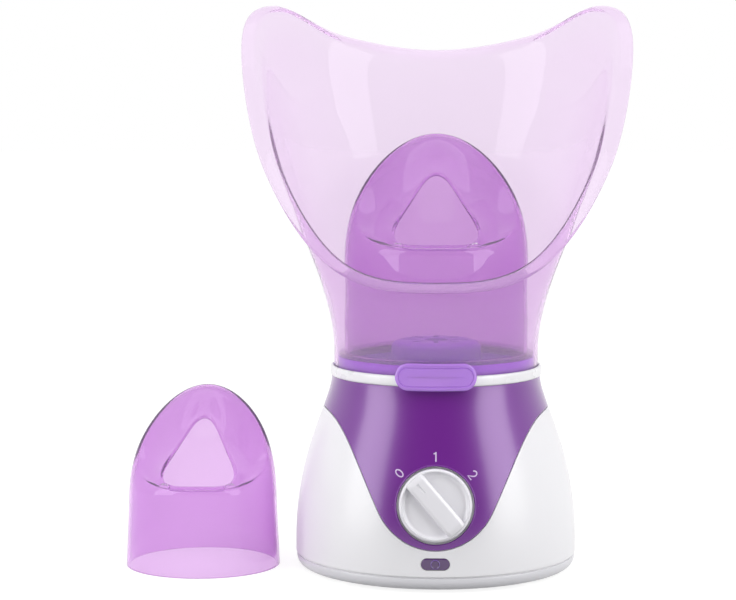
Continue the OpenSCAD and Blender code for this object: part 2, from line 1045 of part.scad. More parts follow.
module nose_hood() {
  seat_z = ridge_top + clear;
  color("mediumpurple")
    translate([0, 0, seat_z]) {
      hood_shell([hood_r, hood_r, hood_front_z - seat_z, hood_rise, 4.5, 0.3445, 34.5]);
      // foot flange on the collar's ridge, with a skirt inside it
      rotate_extrude()
        polygon([
          [ridge_r - ridge_wall - clear - 1.8, -3.5],
          [ridge_r - ridge_wall - clear, -3.5],
          [ridge_r - ridge_wall - clear, 0],
          [ridge_r - 0.1, 0],
          [ridge_r - 0.1, 1.8],
          [hood_r - 1, 1.8],
          [ridge_r - ridge_wall - clear - 1.8, 1.8]
        ]);
    }
}

module nasal_mask() {
  color("mediumpurple")
    translate([-nasal_x, 0, 0])
      hood_shell([nasal_r - 1.5, nasal_r, nasal_front_z, nasal_rise, 3.6, 0.38, 36]);
}

casing();
front_cover();
bottom_cover();
rubber_feet();
cover_screws();
collar_ring();
collar_screws();
heating_cup();
cup_seal();
heater_plate();
heater_clamp();
clamp_screws();
thermostat();
thermal_fuse();
steam_cap();
control_knob();
switch_shaft();
rotary_switch();
switch_nut();
indicator_lens();
lamp_bezel();
pilot_lamp();
terminal_block();
terminal_screws();
cord_gland();
gland_nut();
supply_wires();
heater_wires();
lamp_wires();
face_mask();
nose_hood();
nasal_mask();
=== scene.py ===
"""A table-top facial steamer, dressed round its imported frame. Lengths are metres, +Z up, front -Y."""
import math

import bpy
import bmesh
import numpy as np
from mathutils import Matrix, Vector


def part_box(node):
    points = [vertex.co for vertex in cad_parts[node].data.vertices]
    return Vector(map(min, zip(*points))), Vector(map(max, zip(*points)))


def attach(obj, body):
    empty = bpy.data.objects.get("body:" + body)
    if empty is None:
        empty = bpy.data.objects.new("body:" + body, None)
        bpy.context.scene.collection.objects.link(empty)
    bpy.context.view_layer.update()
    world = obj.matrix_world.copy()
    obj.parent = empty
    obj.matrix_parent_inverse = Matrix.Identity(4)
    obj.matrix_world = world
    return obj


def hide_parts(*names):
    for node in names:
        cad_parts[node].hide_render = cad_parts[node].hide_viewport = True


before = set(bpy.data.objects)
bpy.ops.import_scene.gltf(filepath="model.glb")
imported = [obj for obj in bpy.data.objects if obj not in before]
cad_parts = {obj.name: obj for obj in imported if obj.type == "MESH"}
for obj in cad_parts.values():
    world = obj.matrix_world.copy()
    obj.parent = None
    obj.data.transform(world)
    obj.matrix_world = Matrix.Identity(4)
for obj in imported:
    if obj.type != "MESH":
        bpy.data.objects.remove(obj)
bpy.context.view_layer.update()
scene = bpy.context.scene
MM = 0.001


# ---- Camera ----
# A long lens a little above the mask's rim, turned down slightly and towards the spare mask, so that the
# steamer stands right of the middle.
CAMERA_DISTANCE = 1.166
CAMERA_HEIGHT = 0.249
CAMERA_DOWN_DEG = 5.61
CAMERA_TURN_DEG = 1.68
CAMERA_LENS = 114.07

camera_data = bpy.data.cameras.new("camera")
camera_data.lens = CAMERA_LENS
camera_data.sensor_width = 36
camera_data.clip_start = 0.05
camera = bpy.data.objects.new("camera", camera_data)
scene.collection.objects.link(camera)
camera.location = (0, -CAMERA_DISTANCE, CAMERA_HEIGHT)
camera.rotation_euler = (math.radians(90 - CAMERA_DOWN_DEG), 0, math.radians(CAMERA_TURN_DEG))
scene.camera = camera


# ---- Casing ----
# The white lower casing is one moulding in ABS: a round shell that draws in to the collar. Its upper front
# is set back by the thickness of the violet cover, and it ends in a shadow groove over the base.
casing_low, casing_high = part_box("casing")
BASE_R = casing_high.x
CASING_BOTTOM = casing_low.z
CASING_TOP = casing_high.z
NECK_R = 52.3 * MM
UPRIGHT_TOP = 14 * MM
CASING_WALL = 3.2 * MM
SEAT_DEPTH = 1.6 * MM
GROOVE_TOP = CASING_BOTTOM + 0.6 * MM
GROOVE_DEPTH = 1 * MM
EDGE_ROUND = 0.45 * MM
AROUND = 720


def bezier(points, t):
    """Point at t on a cubic curve."""
    a, b, c, d = (np.asarray(p, float) for p in points)
    return (1 - t) ** 3 * a + 3 * (1 - t) ** 2 * t * b + 3 * (1 - t) * t * t * c + t ** 3 * d


FLANK = np.array([
    bezier([(BASE_R, UPRIGHT_TOP), (BASE_R, 60 * MM), (NECK_R, 84 * MM), (NECK_R, CASING_TOP)], t)
    for t in np.linspace(0, 1, 400)
])


def body_radius(z):
    """Radius of the casing's outer face at height z."""
    return float(np.interp(z, FLANK[:, 1], FLANK[:, 0]))


def body_slope(z):
    """Outward normal (radial, up) of the casing's outer face at height z."""
    step = 0.2 * MM
    run = body_radius(min(z + step, CASING_TOP)) - body_radius(max(z - step, 0))
    rise = min(z + step, CASING_TOP) - max(z - step, 0)
    return np.array([rise, -run]) / math.hypot(rise, run)


# Front cover's edge, seen from the front: an arc round the knob, then a sweep out to the shoulders. Behind
# the shoulders it rises to the collar.
KNOB_Z = 42.7 * MM
TONGUE_R = 30.6 * MM
TONGUE_Z = KNOB_Z + 8.7 * MM
TONGUE_HALF = math.radians(64)
SWEEP_START = 26 * MM
SWEEP_END = 10.6 * MM
SHOULDER_Z = 81.5 * MM
BACK_RUN = 46 * MM


def cover_edge_points():
    """(angle from the front, height) along the cover's edge, on the casing's face."""
    shoulder_x = body_radius(SHOULDER_Z)
    line = [
        (TONGUE_R * math.sin(a), TONGUE_Z - TONGUE_R * math.cos(a)) for a in np.linspace(0, TONGUE_HALF, 40)
    ]
    end = np.array(line[-1])
    sweep = [
        end,
        end + SWEEP_START * np.array([math.cos(TONGUE_HALF), math.sin(TONGUE_HALF)]),
        (shoulder_x - SWEEP_END, SHOULDER_Z),
        (shoulder_x, SHOULDER_Z),
    ]
    line += [tuple(bezier(sweep, t)) for t in np.linspace(0.02, 1, 60)]
    found = [(math.asin(min(1, x / body_radius(z))), z) for x, z in line]
    rise = [
        (0, SHOULDER_Z),
        (BACK_RUN / 2, SHOULDER_Z),
        (BACK_RUN - 6 * MM, CASING_TOP - 4 * MM),
        (BACK_RUN + 2 * MM, CASING_TOP + 2 * MM),
    ]
    for t in np.linspace(0.02, 1, 60):
        y, z = bezier(rise, t)
        if z < CASING_TOP:
            found.append((math.pi / 2 + math.asin(min(1, y / body_radius(z))), z))
    found.append((found[-1][0] + 0.01, CASING_TOP))
    found.append((math.pi, CASING_TOP))
    return np.array(found)


COVER_EDGE = cover_edge_points()


def cover_edge_z(angle):
    """Height of the cover's edge at an angle from the front, the same on both sides."""
    a = abs((angle + math.pi) % (2 * math.pi) - math.pi)
    return float(np.interp(a, COVER_EDGE[:, 0], COVER_EDGE[:, 1]))


def on_body(angle, z, depth=0.0):
    """Point under the casing's outer face; the angle runs from the front towards +X."""
    n = body_slope(z)
    r = body_radius(z) - depth * n[0]
    return (r * math.sin(angle), -r * math.cos(angle), z - depth * n[1])


def full_turn(steps):
    """Equal angles once round."""
    return np.linspace(0, 2 * math.pi, steps, endpoint=False)


def add_object(name, verts, faces):
    """A new object with a mesh of those points and faces."""
    mesh = bpy.data.meshes.new(name)
    mesh.from_pydata(verts, [], faces)
    added = bpy.data.objects.new(name, mesh)
    scene.collection.objects.link(added)
    return added


def fitted(piece, body):
    """Cleans a piece's mesh and sets it on its body."""
    finish_mesh(piece)
    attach(piece, body)
    return piece


def skin_rings(name, rings, body):
    """Closed mesh over rings of points of equal length, once round the axis."""
    rings = np.asarray(rings, float)
    n, m = rings.shape[0], rings.shape[1]
    faces = []
    for i in range(n):
        k = (i + 1) % n
        for j in range(m):
            l = (j + 1) % m
            faces.append((i * m + j, k * m + j, k * m + l, i * m + l))
    return fitted(add_object(name, rings.reshape(-1, 3).tolist(), faces), body)


def finish_mesh(piece, crease_deg=35):
    """Merges doubled points, turns the faces outwards and smooths all but the sharp edges."""
    bm = bmesh.new()
    bm.from_mesh(piece.data)
    bmesh.ops.remove_doubles(bm, verts=bm.verts, dist=2e-6)
    bmesh.ops.dissolve_degenerate(bm, edges=bm.edges, dist=1e-6)
    bmesh.ops.recalc_face_normals(bm, faces=bm.faces)
    for face in bm.faces:
        face.smooth = True
    for edge in bm.edges:
        edge.smooth = len(edge.link_faces) == 2 and edge.calc_face_angle(0) < math.radians(crease_deg)
    bm.to_mesh(piece.data)
    bm.free()


def cut(piece, tool):
    """Cuts tool's space out of piece and removes tool."""
    modifier = piece.modifiers.new("cut", "BOOLEAN")
    modifier.operation = "DIFFERENCE"
    modifier.solver = "EXACT"
    modifier.object = tool
    bpy.context.view_layer.update()
    evaluated = piece.evaluated_get(bpy.context.evaluated_depsgraph_get())
    mesh = bpy.data.meshes.new_from_object(evaluated)
    piece.modifiers.clear()
    piece.data = mesh
    bpy.data.objects.remove(tool)
    finish_mesh(piece)


def lathe(name, profile, body, place=None, around=128):
    """A turned piece: its closed (radius, height) profile swept round +Z, then moved by place."""
    place = place or Matrix.Identity(4)
    rings = [
        [place @ Vector((r * math.cos(a), r * math.sin(a), z)) for r, z in profile]
        for a in full_turn(around)
    ]
    return skin_rings(name, rings, body)


def primitive(name, make, **sizes):
    """A new object from one of bmesh's own shapes."""
    added = add_object(name, [], [])
    bm = bmesh.new()
    make(bm, **sizes)
    bm.to_mesh(added.data)
    bm.free()
    return added


def drum(radius, length, place, around=160):
    """A plain cylinder to cut with, its middle at place."""
    return primitive(
        "tool", bmesh.ops.create_cone, cap_ends=True, segments=around,
        radius1=radius, radius2=radius, depth=length, matrix=place,
    )


KNOB_TILT_DEG = 10.4
POCKET_R = 18.5 * MM
# Knob's place on the casing, with +Z out of the face.
AT_KNOB = Matrix.Translation((0, -body_radius(KNOB_Z) - 0.4 * MM, KNOB_Z)) @ Matrix.Rotation(
    math.radians(90 - KNOB_TILT_DEG), 4, "X"
)


def casing_ring(angle):
    """The casing's closed profile at one angle: groove, outer wall, edge, cover's seat, inner wall."""
    edge = cover_edge_z(angle)
    lip = min(EDGE_ROUND, (CASING_TOP - edge) / 2 + 0.05 * MM)
    points = [on_body(angle, CASING_BOTTOM, GROOVE_DEPTH), on_body(angle, GROOVE_TOP, GROOVE_DEPTH)]
    for a in np.linspace(0, 90, 5):
        s = math.radians(a)
        depth = EDGE_ROUND * (1 - math.sin(s))
        points.append(on_body(angle, GROOVE_TOP + EDGE_ROUND * (1 - math.cos(s)), depth))
    for u in np.linspace(0.02, 1, 60):
        points.append(on_body(angle, GROOVE_TOP + EDGE_ROUND + u * (edge - lip - GROOVE_TOP - EDGE_ROUND)))
    for a in np.linspace(15, 90, 5):
        s = math.radians(a)
        points.append(on_body(angle, edge - lip * (1 - math.sin(s)), EDGE_ROUND * (1 - math.cos(s))))
    for u in np.linspace(0, 1, 24):
        points.append(on_body(angle, edge + u * (CASING_TOP - edge), SEAT_DEPTH))
    for u in np.linspace(0, 1, 24):
        points.append(on_body(angle, CASING_TOP + u * (CASING_BOTTOM - CASING_TOP), CASING_WALL))
    return points


casing = skin_rings(
    "casing_shell",
    [casing_ring(a) for a in full_turn(AROUND)],
    "base",
)
cut(casing, drum(POCKET_R, 0.026, AT_KNOB))
GLAND_AT = Matrix.Translation((0, BASE_R, 0.020)) @ Matrix.Rotation(math.radians(-90), 4, "X")
cut(casing, drum(6 * MM, 0.020, GLAND_AT, 64))

# The knob sits in a round pocket moulded behind the face, with a hole for the switch's bush.
BUSH_HOLE_R = 4.6 * MM
POCKET_BACK = -6.5 * MM
POCKET_FLOOR = -4.5 * MM
POCKET_LIP = -3.5 * MM
POCKET_WALL = 2 * MM
pocket_line = [
    (BUSH_HOLE_R, POCKET_BACK),
    (POCKET_R + POCKET_WALL, POCKET_BACK),
    (POCKET_R + POCKET_WALL, POCKET_LIP),
    (POCKET_R, POCKET_LIP),
    (POCKET_R, POCKET_FLOOR),
    (BUSH_HOLE_R, POCKET_FLOOR),
]
knob_pocket = lathe("knob_pocket", pocket_line, "base", AT_KNOB)

# The indicator's slot goes through the casing under the knob.
lens_low, lens_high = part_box("indicator_lens")
LENS_Z = (lens_low.z + lens_high.z) / 2
LENS_W = 13.8 * MM
LENS_H = 5.8 * MM


def pill_outline(width, height, steps=24, run=16):
    """Points round a pill, counter-clockwise, in its own plane."""
    r = height / 2
    x = width / 2 - r
    right = [(x + r * math.cos(a), r * math.sin(a)) for a in np.linspace(-math.pi / 2, math.pi / 2, steps)]
    right += [(x * (1 - 2 * u), r) for u in np.linspace(0, 1, run)[1:-1]]
    left = [(-px, -py) for px, py in right]
    return right + left


def pill_tool(width, height, z, y_from, y_to):
    """A pill-shaped bar along Y to cut with."""
    outline = pill_outline(width, height)
    n = len(outline)
    verts = [(x, y, z + v) for y in (y_from, y_to) for x, v in outline]
    faces = [tuple(range(n)), tuple(range(2 * n - 1, n - 1, -1))]
    faces += [(i, (i + 1) % n, n + (i + 1) % n, n + i) for i in range(n)]
    tool = add_object("tool", verts, faces)
    finish_mesh(tool)
    return tool


LENS_GAP = 0.2 * MM
SLOT_REACH = 10 * MM
cut(
    casing,
    pill_tool(LENS_W + LENS_GAP, LENS_H + LENS_GAP, LENS_Z, -BASE_R - SLOT_REACH, -BASE_R + SLOT_REACH),
)
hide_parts("casing")


def new_group(name, inputs, outputs):
    """An empty shader group with named sockets; returns the group with its input and output nodes."""
    group = bpy.data.node_groups.new(name, "ShaderNodeTree")
    for label, kind, value in inputs:
        socket = group.interface.new_socket(name=label, in_out="INPUT", socket_type=kind)
        socket.default_value = value
    for label, kind in outputs:
        group.interface.new_socket(name=label, in_out="OUTPUT", socket_type=kind)
    return group, group.nodes.new("NodeGroupInput"), group.nodes.new("NodeGroupOutput")


def link(tree, source, target):
    """Joins an output socket to an input socket."""
    tree.links.new(source, target)


def noise(nodes, scale, detail):
    """A noise texture of that scale."""
    texture = nodes.new("ShaderNodeTexNoise")
    texture.inputs["Scale"].default_value = scale
    texture.inputs["Detail"].default_value = detail
    return texture


def multiply_add(nodes):
    """A node that gives first * second + third."""
    node = nodes.new("ShaderNodeMath")
    node.operation = "MULTIPLY_ADD"
    return node


def moulded_skin_group():
    """Moulded plastic: slow shade drift, finger haze in the gloss, and a polished tool's faint ripple."""
    group, start, end = new_group(
        "moulded skin",
        [
            ("Color", "NodeSocketColor", (0.8, 0.8, 0.8, 1)),
            ("Shade Drift", "NodeSocketFloat", 0.03),
            ("Roughness", "NodeSocketFloat", 0.2),
            ("Haze", "NodeSocketFloat", 0.08),
            ("Ripple", "NodeSocketFloat", 0.02),
        ],
        [("Color", "NodeSocketColor"), ("Roughness", "NodeSocketFloat"), ("Normal", "NodeSocketVector")],
    )
    nodes = group.nodes
    place = nodes.new("ShaderNodeTexCoord")
    drift = noise(nodes, 14, 3)
    haze = noise(nodes, 55, 6)
    ripple = noise(nodes, 240, 2)
    for texture in (drift, haze, ripple):
        link(group, place.outputs["Object"], texture.inputs["Vector"])
    centre = multiply_add(nodes)
    centre.inputs[1].default_value = 2
    centre.inputs[2].default_value = -1
    link(group, drift.outputs["Fac"], centre.inputs[0])
    amount = multiply_add(nodes)
    amount.inputs[2].default_value = 1
    link(group, centre.outputs[0], amount.inputs[0])
    link(group, start.outputs["Shade Drift"], amount.inputs[1])
    shade = nodes.new("ShaderNodeHueSaturation")
    link(group, amount.outputs[0], shade.inputs["Value"])
    link(group, start.outputs["Color"], shade.inputs["Color"])
    rough = multiply_add(nodes)
    link(group, haze.outputs["Fac"], rough.inputs[0])
    link(group, start.outputs["Haze"], rough.inputs[1])
    link(group, start.outputs["Roughness"], rough.inputs[2])
    bump = nodes.new("ShaderNodeBump")
    bump.inputs["Distance"].default_value = 0.00004
    link(group, ripple.outputs["Fac"], bump.inputs["Height"])
    link(group, start.outputs["Ripple"], bump.inputs["Strength"])
    link(group, shade.outputs["Color"], end.inputs["Color"])
    link(group, rough.outputs[0], end.inputs["Roughness"])
    link(group, bump.outputs["Normal"], end.inputs["Normal"])
    return group


moulded_skin = moulded_skin_group()


def principled(name):
    """A new material; returns it with its node tree and its Principled shader."""
    finish = bpy.data.materials.new(name)
    finish.use_nodes = True
    return finish, finish.node_tree, finish.node_tree.nodes["Principled BSDF"]


def skinned(name, color, roughness, haze, ripple, drift):
    """A new material with the moulded skin on its Principled shader."""
    finish, tree, shader = principled(name)
    skin = tree.nodes.new("ShaderNodeGroup")
    skin.node_tree = moulded_skin
    skin.inputs["Color"].default_value = (*color, 1)
    skin.inputs["Shade Drift"].default_value = drift
    skin.inputs["Roughness"].default_value = roughness
    skin.inputs["Haze"].default_value = haze
    skin.inputs["Ripple"].default_value = ripple
    link(tree, skin.outputs["Color"], shader.inputs["Base Color"])
    link(tree, skin.outputs["Roughness"], shader.inputs["Roughness"])
    link(tree, skin.outputs["Normal"], shader.inputs["Normal"])
    return finish, tree, shader


def moulded(name, color, roughness=0.2, haze=0.08, ripple=0.15, drift=0.03, **constants):
    """A moulded material; constants are sockets of its Principled shader, such as coat_weight."""
    finish, tree, shader = skinned(name, color, roughness, haze, ripple, drift)
    for socket, value in constants.items():
        shader.inputs[socket.replace("_", " ").title()].default_value = value
    return finish


def paint(piece, finish):
    """Gives a piece or a CAD node one material."""
    piece.data.materials.clear()
    piece.data.materials.append(finish)


white_abs = moulded(
    "white ABS", (0.81, 0.805, 0.83), roughness=0.3, haze=0.06, coat_weight=0.15, coat_roughness=0.12
)
paint(casing, white_abs)
paint(knob_pocket, white_abs)


# ---- Bottom cover and feet ----
# The base closes the casing from below: the same ABS coloured a little darker than the casing, rounded in to
# the table, held by four screws in wells. Four soft pads are glued into shallow pockets and carry the
# steamer.
FLOOR_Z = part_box("bottom_cover")[0].z
PLATE_R = BASE_R - 4.5 * MM
AXIS_R = 0.1 * MM
RIM_STRAIGHT = 1.2 * MM
RIM_ROUND = 0.5 * MM
FLOOR_T = 2.5 * MM
SPIGOT_T = 1.8 * MM
SPIGOT_H = 2.5 * MM


def bottom_profile():
    """Half section of the base from the middle of its underside round to the middle of its floor."""
    top = CASING_BOTTOM
    bend_top = top - RIM_STRAIGHT
    line = [(AXIS_R, FLOOR_Z)] + [(r, FLOOR_Z) for r in np.linspace(10 * MM, PLATE_R, 8)]
    for a in np.linspace(6, 90, 15):
        s = math.radians(a)
        line.append((PLATE_R + 4.1 * MM * math.sin(s), bend_top - (bend_top - FLOOR_Z) * math.cos(s)))
    for a in np.linspace(15, 90, 6):
        s = math.radians(a)
        line.append((BASE_R - 0.9 * MM + RIM_ROUND * math.cos(s), top - RIM_ROUND + RIM_ROUND * math.sin(s)))
    wall = BASE_R - CASING_WALL - 0.2 * MM
    line += [(wall, top), (wall, top + SPIGOT_H), (wall - SPIGOT_T, top + SPIGOT_H)]
    line += [(wall - SPIGOT_T, FLOOR_Z + FLOOR_T), (AXIS_R, FLOOR_Z + FLOOR_T)]
    return line


base_shell = lathe("bottom_shell", bottom_profile(), "base", around=256)
SCREW_RING_R = BASE_R - CASING_WALL - 3.8 * MM
SCREW_WELL_R = 2.9 * MM
SCREW_WELL_DEPTH = 3.2 * MM
for k in range(4):
    turn = math.radians(45 + 90 * k)
    well = Matrix.Translation((SCREW_RING_R * math.cos(turn), SCREW_RING_R * math.sin(turn), FLOOR_Z))
    cut(base_shell, drum(SCREW_WELL_R, SCREW_WELL_DEPTH, well, 48))
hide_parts("bottom_cover")
base_abs = moulded(
    "base ABS", (0.68, 0.675, 0.71), roughness=0.3, haze=0.08, coat_weight=0.15, coat_roughness=0.1
)
paint(base_shell, base_abs)

pad_rubber = moulded("pad rubber", (0.5, 0.5, 0.52), roughness=0.62, haze=0.2, ripple=0.8, drift=0.06)
paint(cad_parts["rubber_feet"], pad_rubber)


# ---- Collar ----
# A white ring snapped into the casing's neck. Its groove takes the foot of the face mask, and the ridge
# inside the groove carries the nose hood.
collar_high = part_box("collar_ring")[1]
COLLAR_R = collar_high.x
COLLAR_TOP = CASING_TOP + 5.2 * MM
MASK_NECK_R = 51.25 * MM
RIDGE_R = MASK_NECK_R - 2.3 * MM
RIDGE_TOP = collar_high.z
RIDGE_T = 2.4 * MM
SPIGOT_R = 48.9 * MM
MASK_GAP = 0.3 * MM
WEB_BOTTOM = CASING_TOP - 3 * MM
CUP_MOUTH_R = 34 * MM


def rounded_line(points, radii, steps=6):
    """A polyline with its inner corners replaced by short curves of about the given sizes."""
    out = [points[0]]
    for k in range(1, len(points) - 1):
        a, b, c = (np.asarray(p, float) for p in points[k - 1:k + 2])
        r = radii[k] if k < len(radii) else 0
        if r <= 0:
            out.append(tuple(b))
            continue
        u = (a - b) / np.linalg.norm(a - b)
        v = (c - b) / np.linalg.norm(c - b)
        for s in np.linspace(0, 1, steps):
            p = (1 - s) ** 2 * (b + r * u) + 2 * s * (1 - s) * b + s * s * (b + r * v)
            out.append(tuple(p))
    out.append(points[-1])
    return out


GROOVE_FLOOR = CASING_TOP + 1.2 * MM
collar_line = [
    (CUP_MOUTH_R, WEB_BOTTOM),
    (SPIGOT_R, WEB_BOTTOM),
    (SPIGOT_R, CASING_TOP),
    (COLLAR_R, CASING_TOP),
    (COLLAR_R, COLLAR_TOP),
    (MASK_NECK_R + MASK_GAP, COLLAR_TOP),
    (MASK_NECK_R + MASK_GAP, GROOVE_FLOOR),
    (RIDGE_R, GROOVE_FLOOR),
    (RIDGE_R, RIDGE_TOP),
    (RIDGE_R - RIDGE_T, RIDGE_TOP),
    (RIDGE_R - RIDGE_T, CASING_TOP),
    (CUP_MOUTH_R, CASING_TOP),
]
collar_radii = [r * MM for r in (0, 0, 0, 1.2, 1.4, 0.5, 0.2, 0.2, 0.6, 0.6, 0.8, 0)]
collar = lathe("collar_band", rounded_line(collar_line, collar_radii), "base", around=256)
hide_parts("collar_ring")
ring_abs = moulded(
    "ring ABS", (0.84, 0.835, 0.86), roughness=0.25, haze=0.05, coat_weight=0.2, coat_roughness=0.1
)
paint(collar, ring_abs)


# ---- Front cover ----
# A thin violet shell with a lacquered finish, set flush into the casing. A round tongue runs down about the
# knob, and the back rises to the collar. Its edge is drawn in a little from the white, and rounded.
COVER_WALL = 1.5 * MM
COVER_GAP = 0.35 * MM
COVER_ROUND = 0.5 * MM
COVER_LAST = COVER_EDGE[-2, 0] - 0.02


def cover_column(angle):
    """Closed profile of the cover at one angle, from its lower inner corner round to the top."""
    edge = min(cover_edge_z(angle) + COVER_GAP, CASING_TOP - 0.8 * MM)
    lip = min(COVER_ROUND, (CASING_TOP - edge) / 3)
    points = [on_body(angle, edge, COVER_WALL)]
    for a in np.linspace(0, 90, 6):
        s = math.radians(a)
        points.append(on_body(angle, edge + lip * (1 - math.cos(s)), COVER_ROUND * (1 - math.sin(s))))
    for u in np.linspace(0.01, 1, 70):
        points.append(on_body(angle, edge + lip + u * (CASING_TOP - edge - lip)))
    for u in np.linspace(0, 0.99, 30):
        points.append(on_body(angle, CASING_TOP + u * (edge - CASING_TOP), COVER_WALL))
    return points


def open_strip(name, columns, body):
    """Mesh over columns of closed profiles from one end to the other, capped at both ends."""
    columns = np.asarray(columns, float)
    n, m = columns.shape[0], columns.shape[1]
    faces = [
        (i * m + j, (i + 1) * m + j, (i + 1) * m + (j + 1) % m, i * m + (j + 1) % m)
        for i in range(n - 1) for j in range(m)
    ]
    faces += [tuple(range(m)), tuple(range(n * m - 1, (n - 1) * m - 1, -1))]
    return fitted(add_object(name, columns.reshape(-1, 3).tolist(), faces), body)


cover = open_strip(
    "violet_cover",
    [cover_column(a) for a in np.linspace(-COVER_LAST, COVER_LAST, 601)],
    "base",
)
cut(cover, drum(POCKET_R + 0.3 * MM, 0.060, AT_KNOB))
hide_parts("front_cover")


def violet_lacquer():
    """The violet cover's finish: a deep violet, slightly metallic, under a clear satin coat."""
    finish = moulded("violet pearl", (0.15, 0.006, 0.26), roughness=0.34, haze=0.05, ripple=0.1, drift=0.03)
    shader = finish.node_tree.nodes["Principled BSDF"]
    shader.inputs["Metallic"].default_value = 0.12
    shader.inputs["Coat Weight"].default_value = 1
    shader.inputs["Coat Roughness"].default_value = 0.2
    return finish


violet_pearl = violet_lacquer()
paint(cover, violet_pearl)

# A thin bead of the same lacquer rounds the cover's edge about the knob.
POCKET_BEAD = 0.45 * MM


def face_depth_at(x, z):
    """Y of the casing's outer face at (x, z), on the front."""
    return -math.sqrt(max(body_radius(z) ** 2 - x * x, 0))


def pocket_edge_point(turn, radius):
    """Point where a cylinder of that radius about the knob's axis meets the casing's face."""
    local = Vector((radius * math.cos(turn), radius * math.sin(turn), 0))
    point = AT_KNOB @ local
    out = (AT_KNOB.to_3x3() @ Vector((0, 0, 1))).normalized()
    for _ in range(12):
        gap = math.hypot(point.x, point.y) - body_radius(point.z)
        point = point - out * gap
    return point


def bead_ring(turn):
    """A small circle across the pocket's edge."""
    centre = pocket_edge_point(turn, POCKET_R + 0.55 * MM)
    out = (AT_KNOB.to_3x3() @ Vector((0, 0, 1))).normalized()
    side = (AT_KNOB.to_3x3() @ Vector((math.cos(turn), math.sin(turn), 0))).normalized()
    centre = centre - out * 0.25 * MM
    return [centre + POCKET_BEAD * (math.cos(a) * side + math.sin(a) * out)
            for a in full_turn(14)]


pocket_bead = skin_rings("pocket_bead", [bead_ring(a) for a in full_turn(240)], "base")
paint(pocket_bead, violet_pearl)

# The settings are printed in pale ink round the knob: off, one and two.
DIGIT_RING_R = 22.6 * MM
DIGIT_HEIGHT = 4.6 * MM
DIGIT_LIFT = 0.06 * MM
DIGIT_STROKE = 0.62 * MM


def oval(cx, cy, rx, ry, start_deg, end_deg, steps=28):
    """Points along part of an ellipse."""
    return [
        (cx + rx * math.cos(a), cy + ry * math.sin(a))
        for a in np.radians(np.linspace(start_deg, end_deg, steps))
    ]


# Each digit as a pen stroke in a box from -0.5 to 0.5 high.
DIGITS = {
    "0": (-50, oval(0, 0, 0.27, 0.44, 90, 450, 49)),
    "1": (0, [(-0.2, 0.26), (-0.06, 0.33), (0.03, 0.46), (0.03, -0.5)]),
    "2": (52, oval(0, 0.18, 0.27, 0.27, 165, -25, 20) + [(0.14, -0.08), (-0.28, -0.45), (0.31, -0.45)]),
}


def on_face(u, v, turn):
    """Point of the cover's face at (u, v) from the knob's axis, turned clockwise round it."""
    x = u * math.cos(turn) + v * math.sin(turn)
    z = KNOB_Z - u * math.sin(turn) + v * math.cos(turn)
    lift = DIGIT_LIFT * Vector((x, face_depth_at(x, z), 0)).normalized()
    return Vector((x, face_depth_at(x, z), z)) + lift


def printed_digit(text, turn_deg, stroke):
    """A digit drawn as a flat ribbon on the cover, upright to the knob's axis."""
    turn = math.radians(turn_deg)
    line = [np.array(p) * DIGIT_HEIGHT for p in stroke]
    verts = []
    for i, p in enumerate(line):
        before = line[max(i - 1, 0)]
        after = line[min(i + 1, len(line) - 1)]
        if text == "0":
            before, after = line[(i - 1) % (len(line) - 1)], line[(i + 1) % (len(line) - 1)]
        along = (after - before) / np.linalg.norm(after - before)
        across = np.array([-along[1], along[0]]) * DIGIT_STROKE / 2
        verts += [on_face(*(p + side * across + [0, DIGIT_RING_R]), turn) for side in (1, 0, -1)]
    faces = [
        (3 * i + j, 3 * i + j + 1, 3 * i + j + 4, 3 * i + j + 3)
        for i in range(len(line) - 1) for j in (0, 1)
    ]
    piece = add_object("digit_" + text, verts, faces)
    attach(piece, "base")
    return piece


ink = moulded("pale ink", (0.62, 0.5, 0.72), roughness=0.5, haze=0.15, ripple=0.3, drift=0.04)
for digit, (digit_turn, digit_stroke) in DIGITS.items():
    paint(printed_digit(digit, digit_turn, digit_stroke), ink)


# ---- Knob ----
# A pale grey moulded knob on the switch shaft: a drum with a rim bead, a dished face and one raised grip bar
# straight across it, bevelled along both sides, with a pointer groove at the end that shows the setting.
KNOB_R = 17.5 * MM
KNOB_OUT = 5.2 * MM
KNOB_SKIRT = 3.4 * MM
GRIP_H = 1.6 * MM
POINTER_DEG = -41
GRIP_W = 10 * MM

AT_GRIP = AT_KNOB @ Matrix.Rotation(math.radians(-POINTER_DEG), 4, "Z")


def knob_drum_line():
    """Closed half section of the knob's drum, hollow behind."""
    points = [
        (0.0001, KNOB_OUT - 2.0 * MM),
        (KNOB_R - 2.6 * MM, KNOB_OUT - 2.0 * MM),
        (KNOB_R - 1.9 * MM, KNOB_OUT - 0.9 * MM),
        (KNOB_R - 1.5 * MM, KNOB_OUT),
        (KNOB_R - 0.9 * MM, KNOB_OUT),
        (KNOB_R, KNOB_OUT - 1.2 * MM),
        (KNOB_R, -KNOB_SKIRT),
        (KNOB_R - 2 * MM, -KNOB_SKIRT),
        (KNOB_R - 2 * MM, KNOB_OUT - 3.2 * MM),
        (0.0001, KNOB_OUT - 3.2 * MM),
    ]
    radii = [r * MM for r in (0, 1.0, 0.5, 0.5, 0.6, 0.5, 0.4, 0.2, 0.5, 0)]
    return rounded_line(points, radii)


knob = lathe("knob_drum", knob_drum_line(), "knob", AT_GRIP, 192)


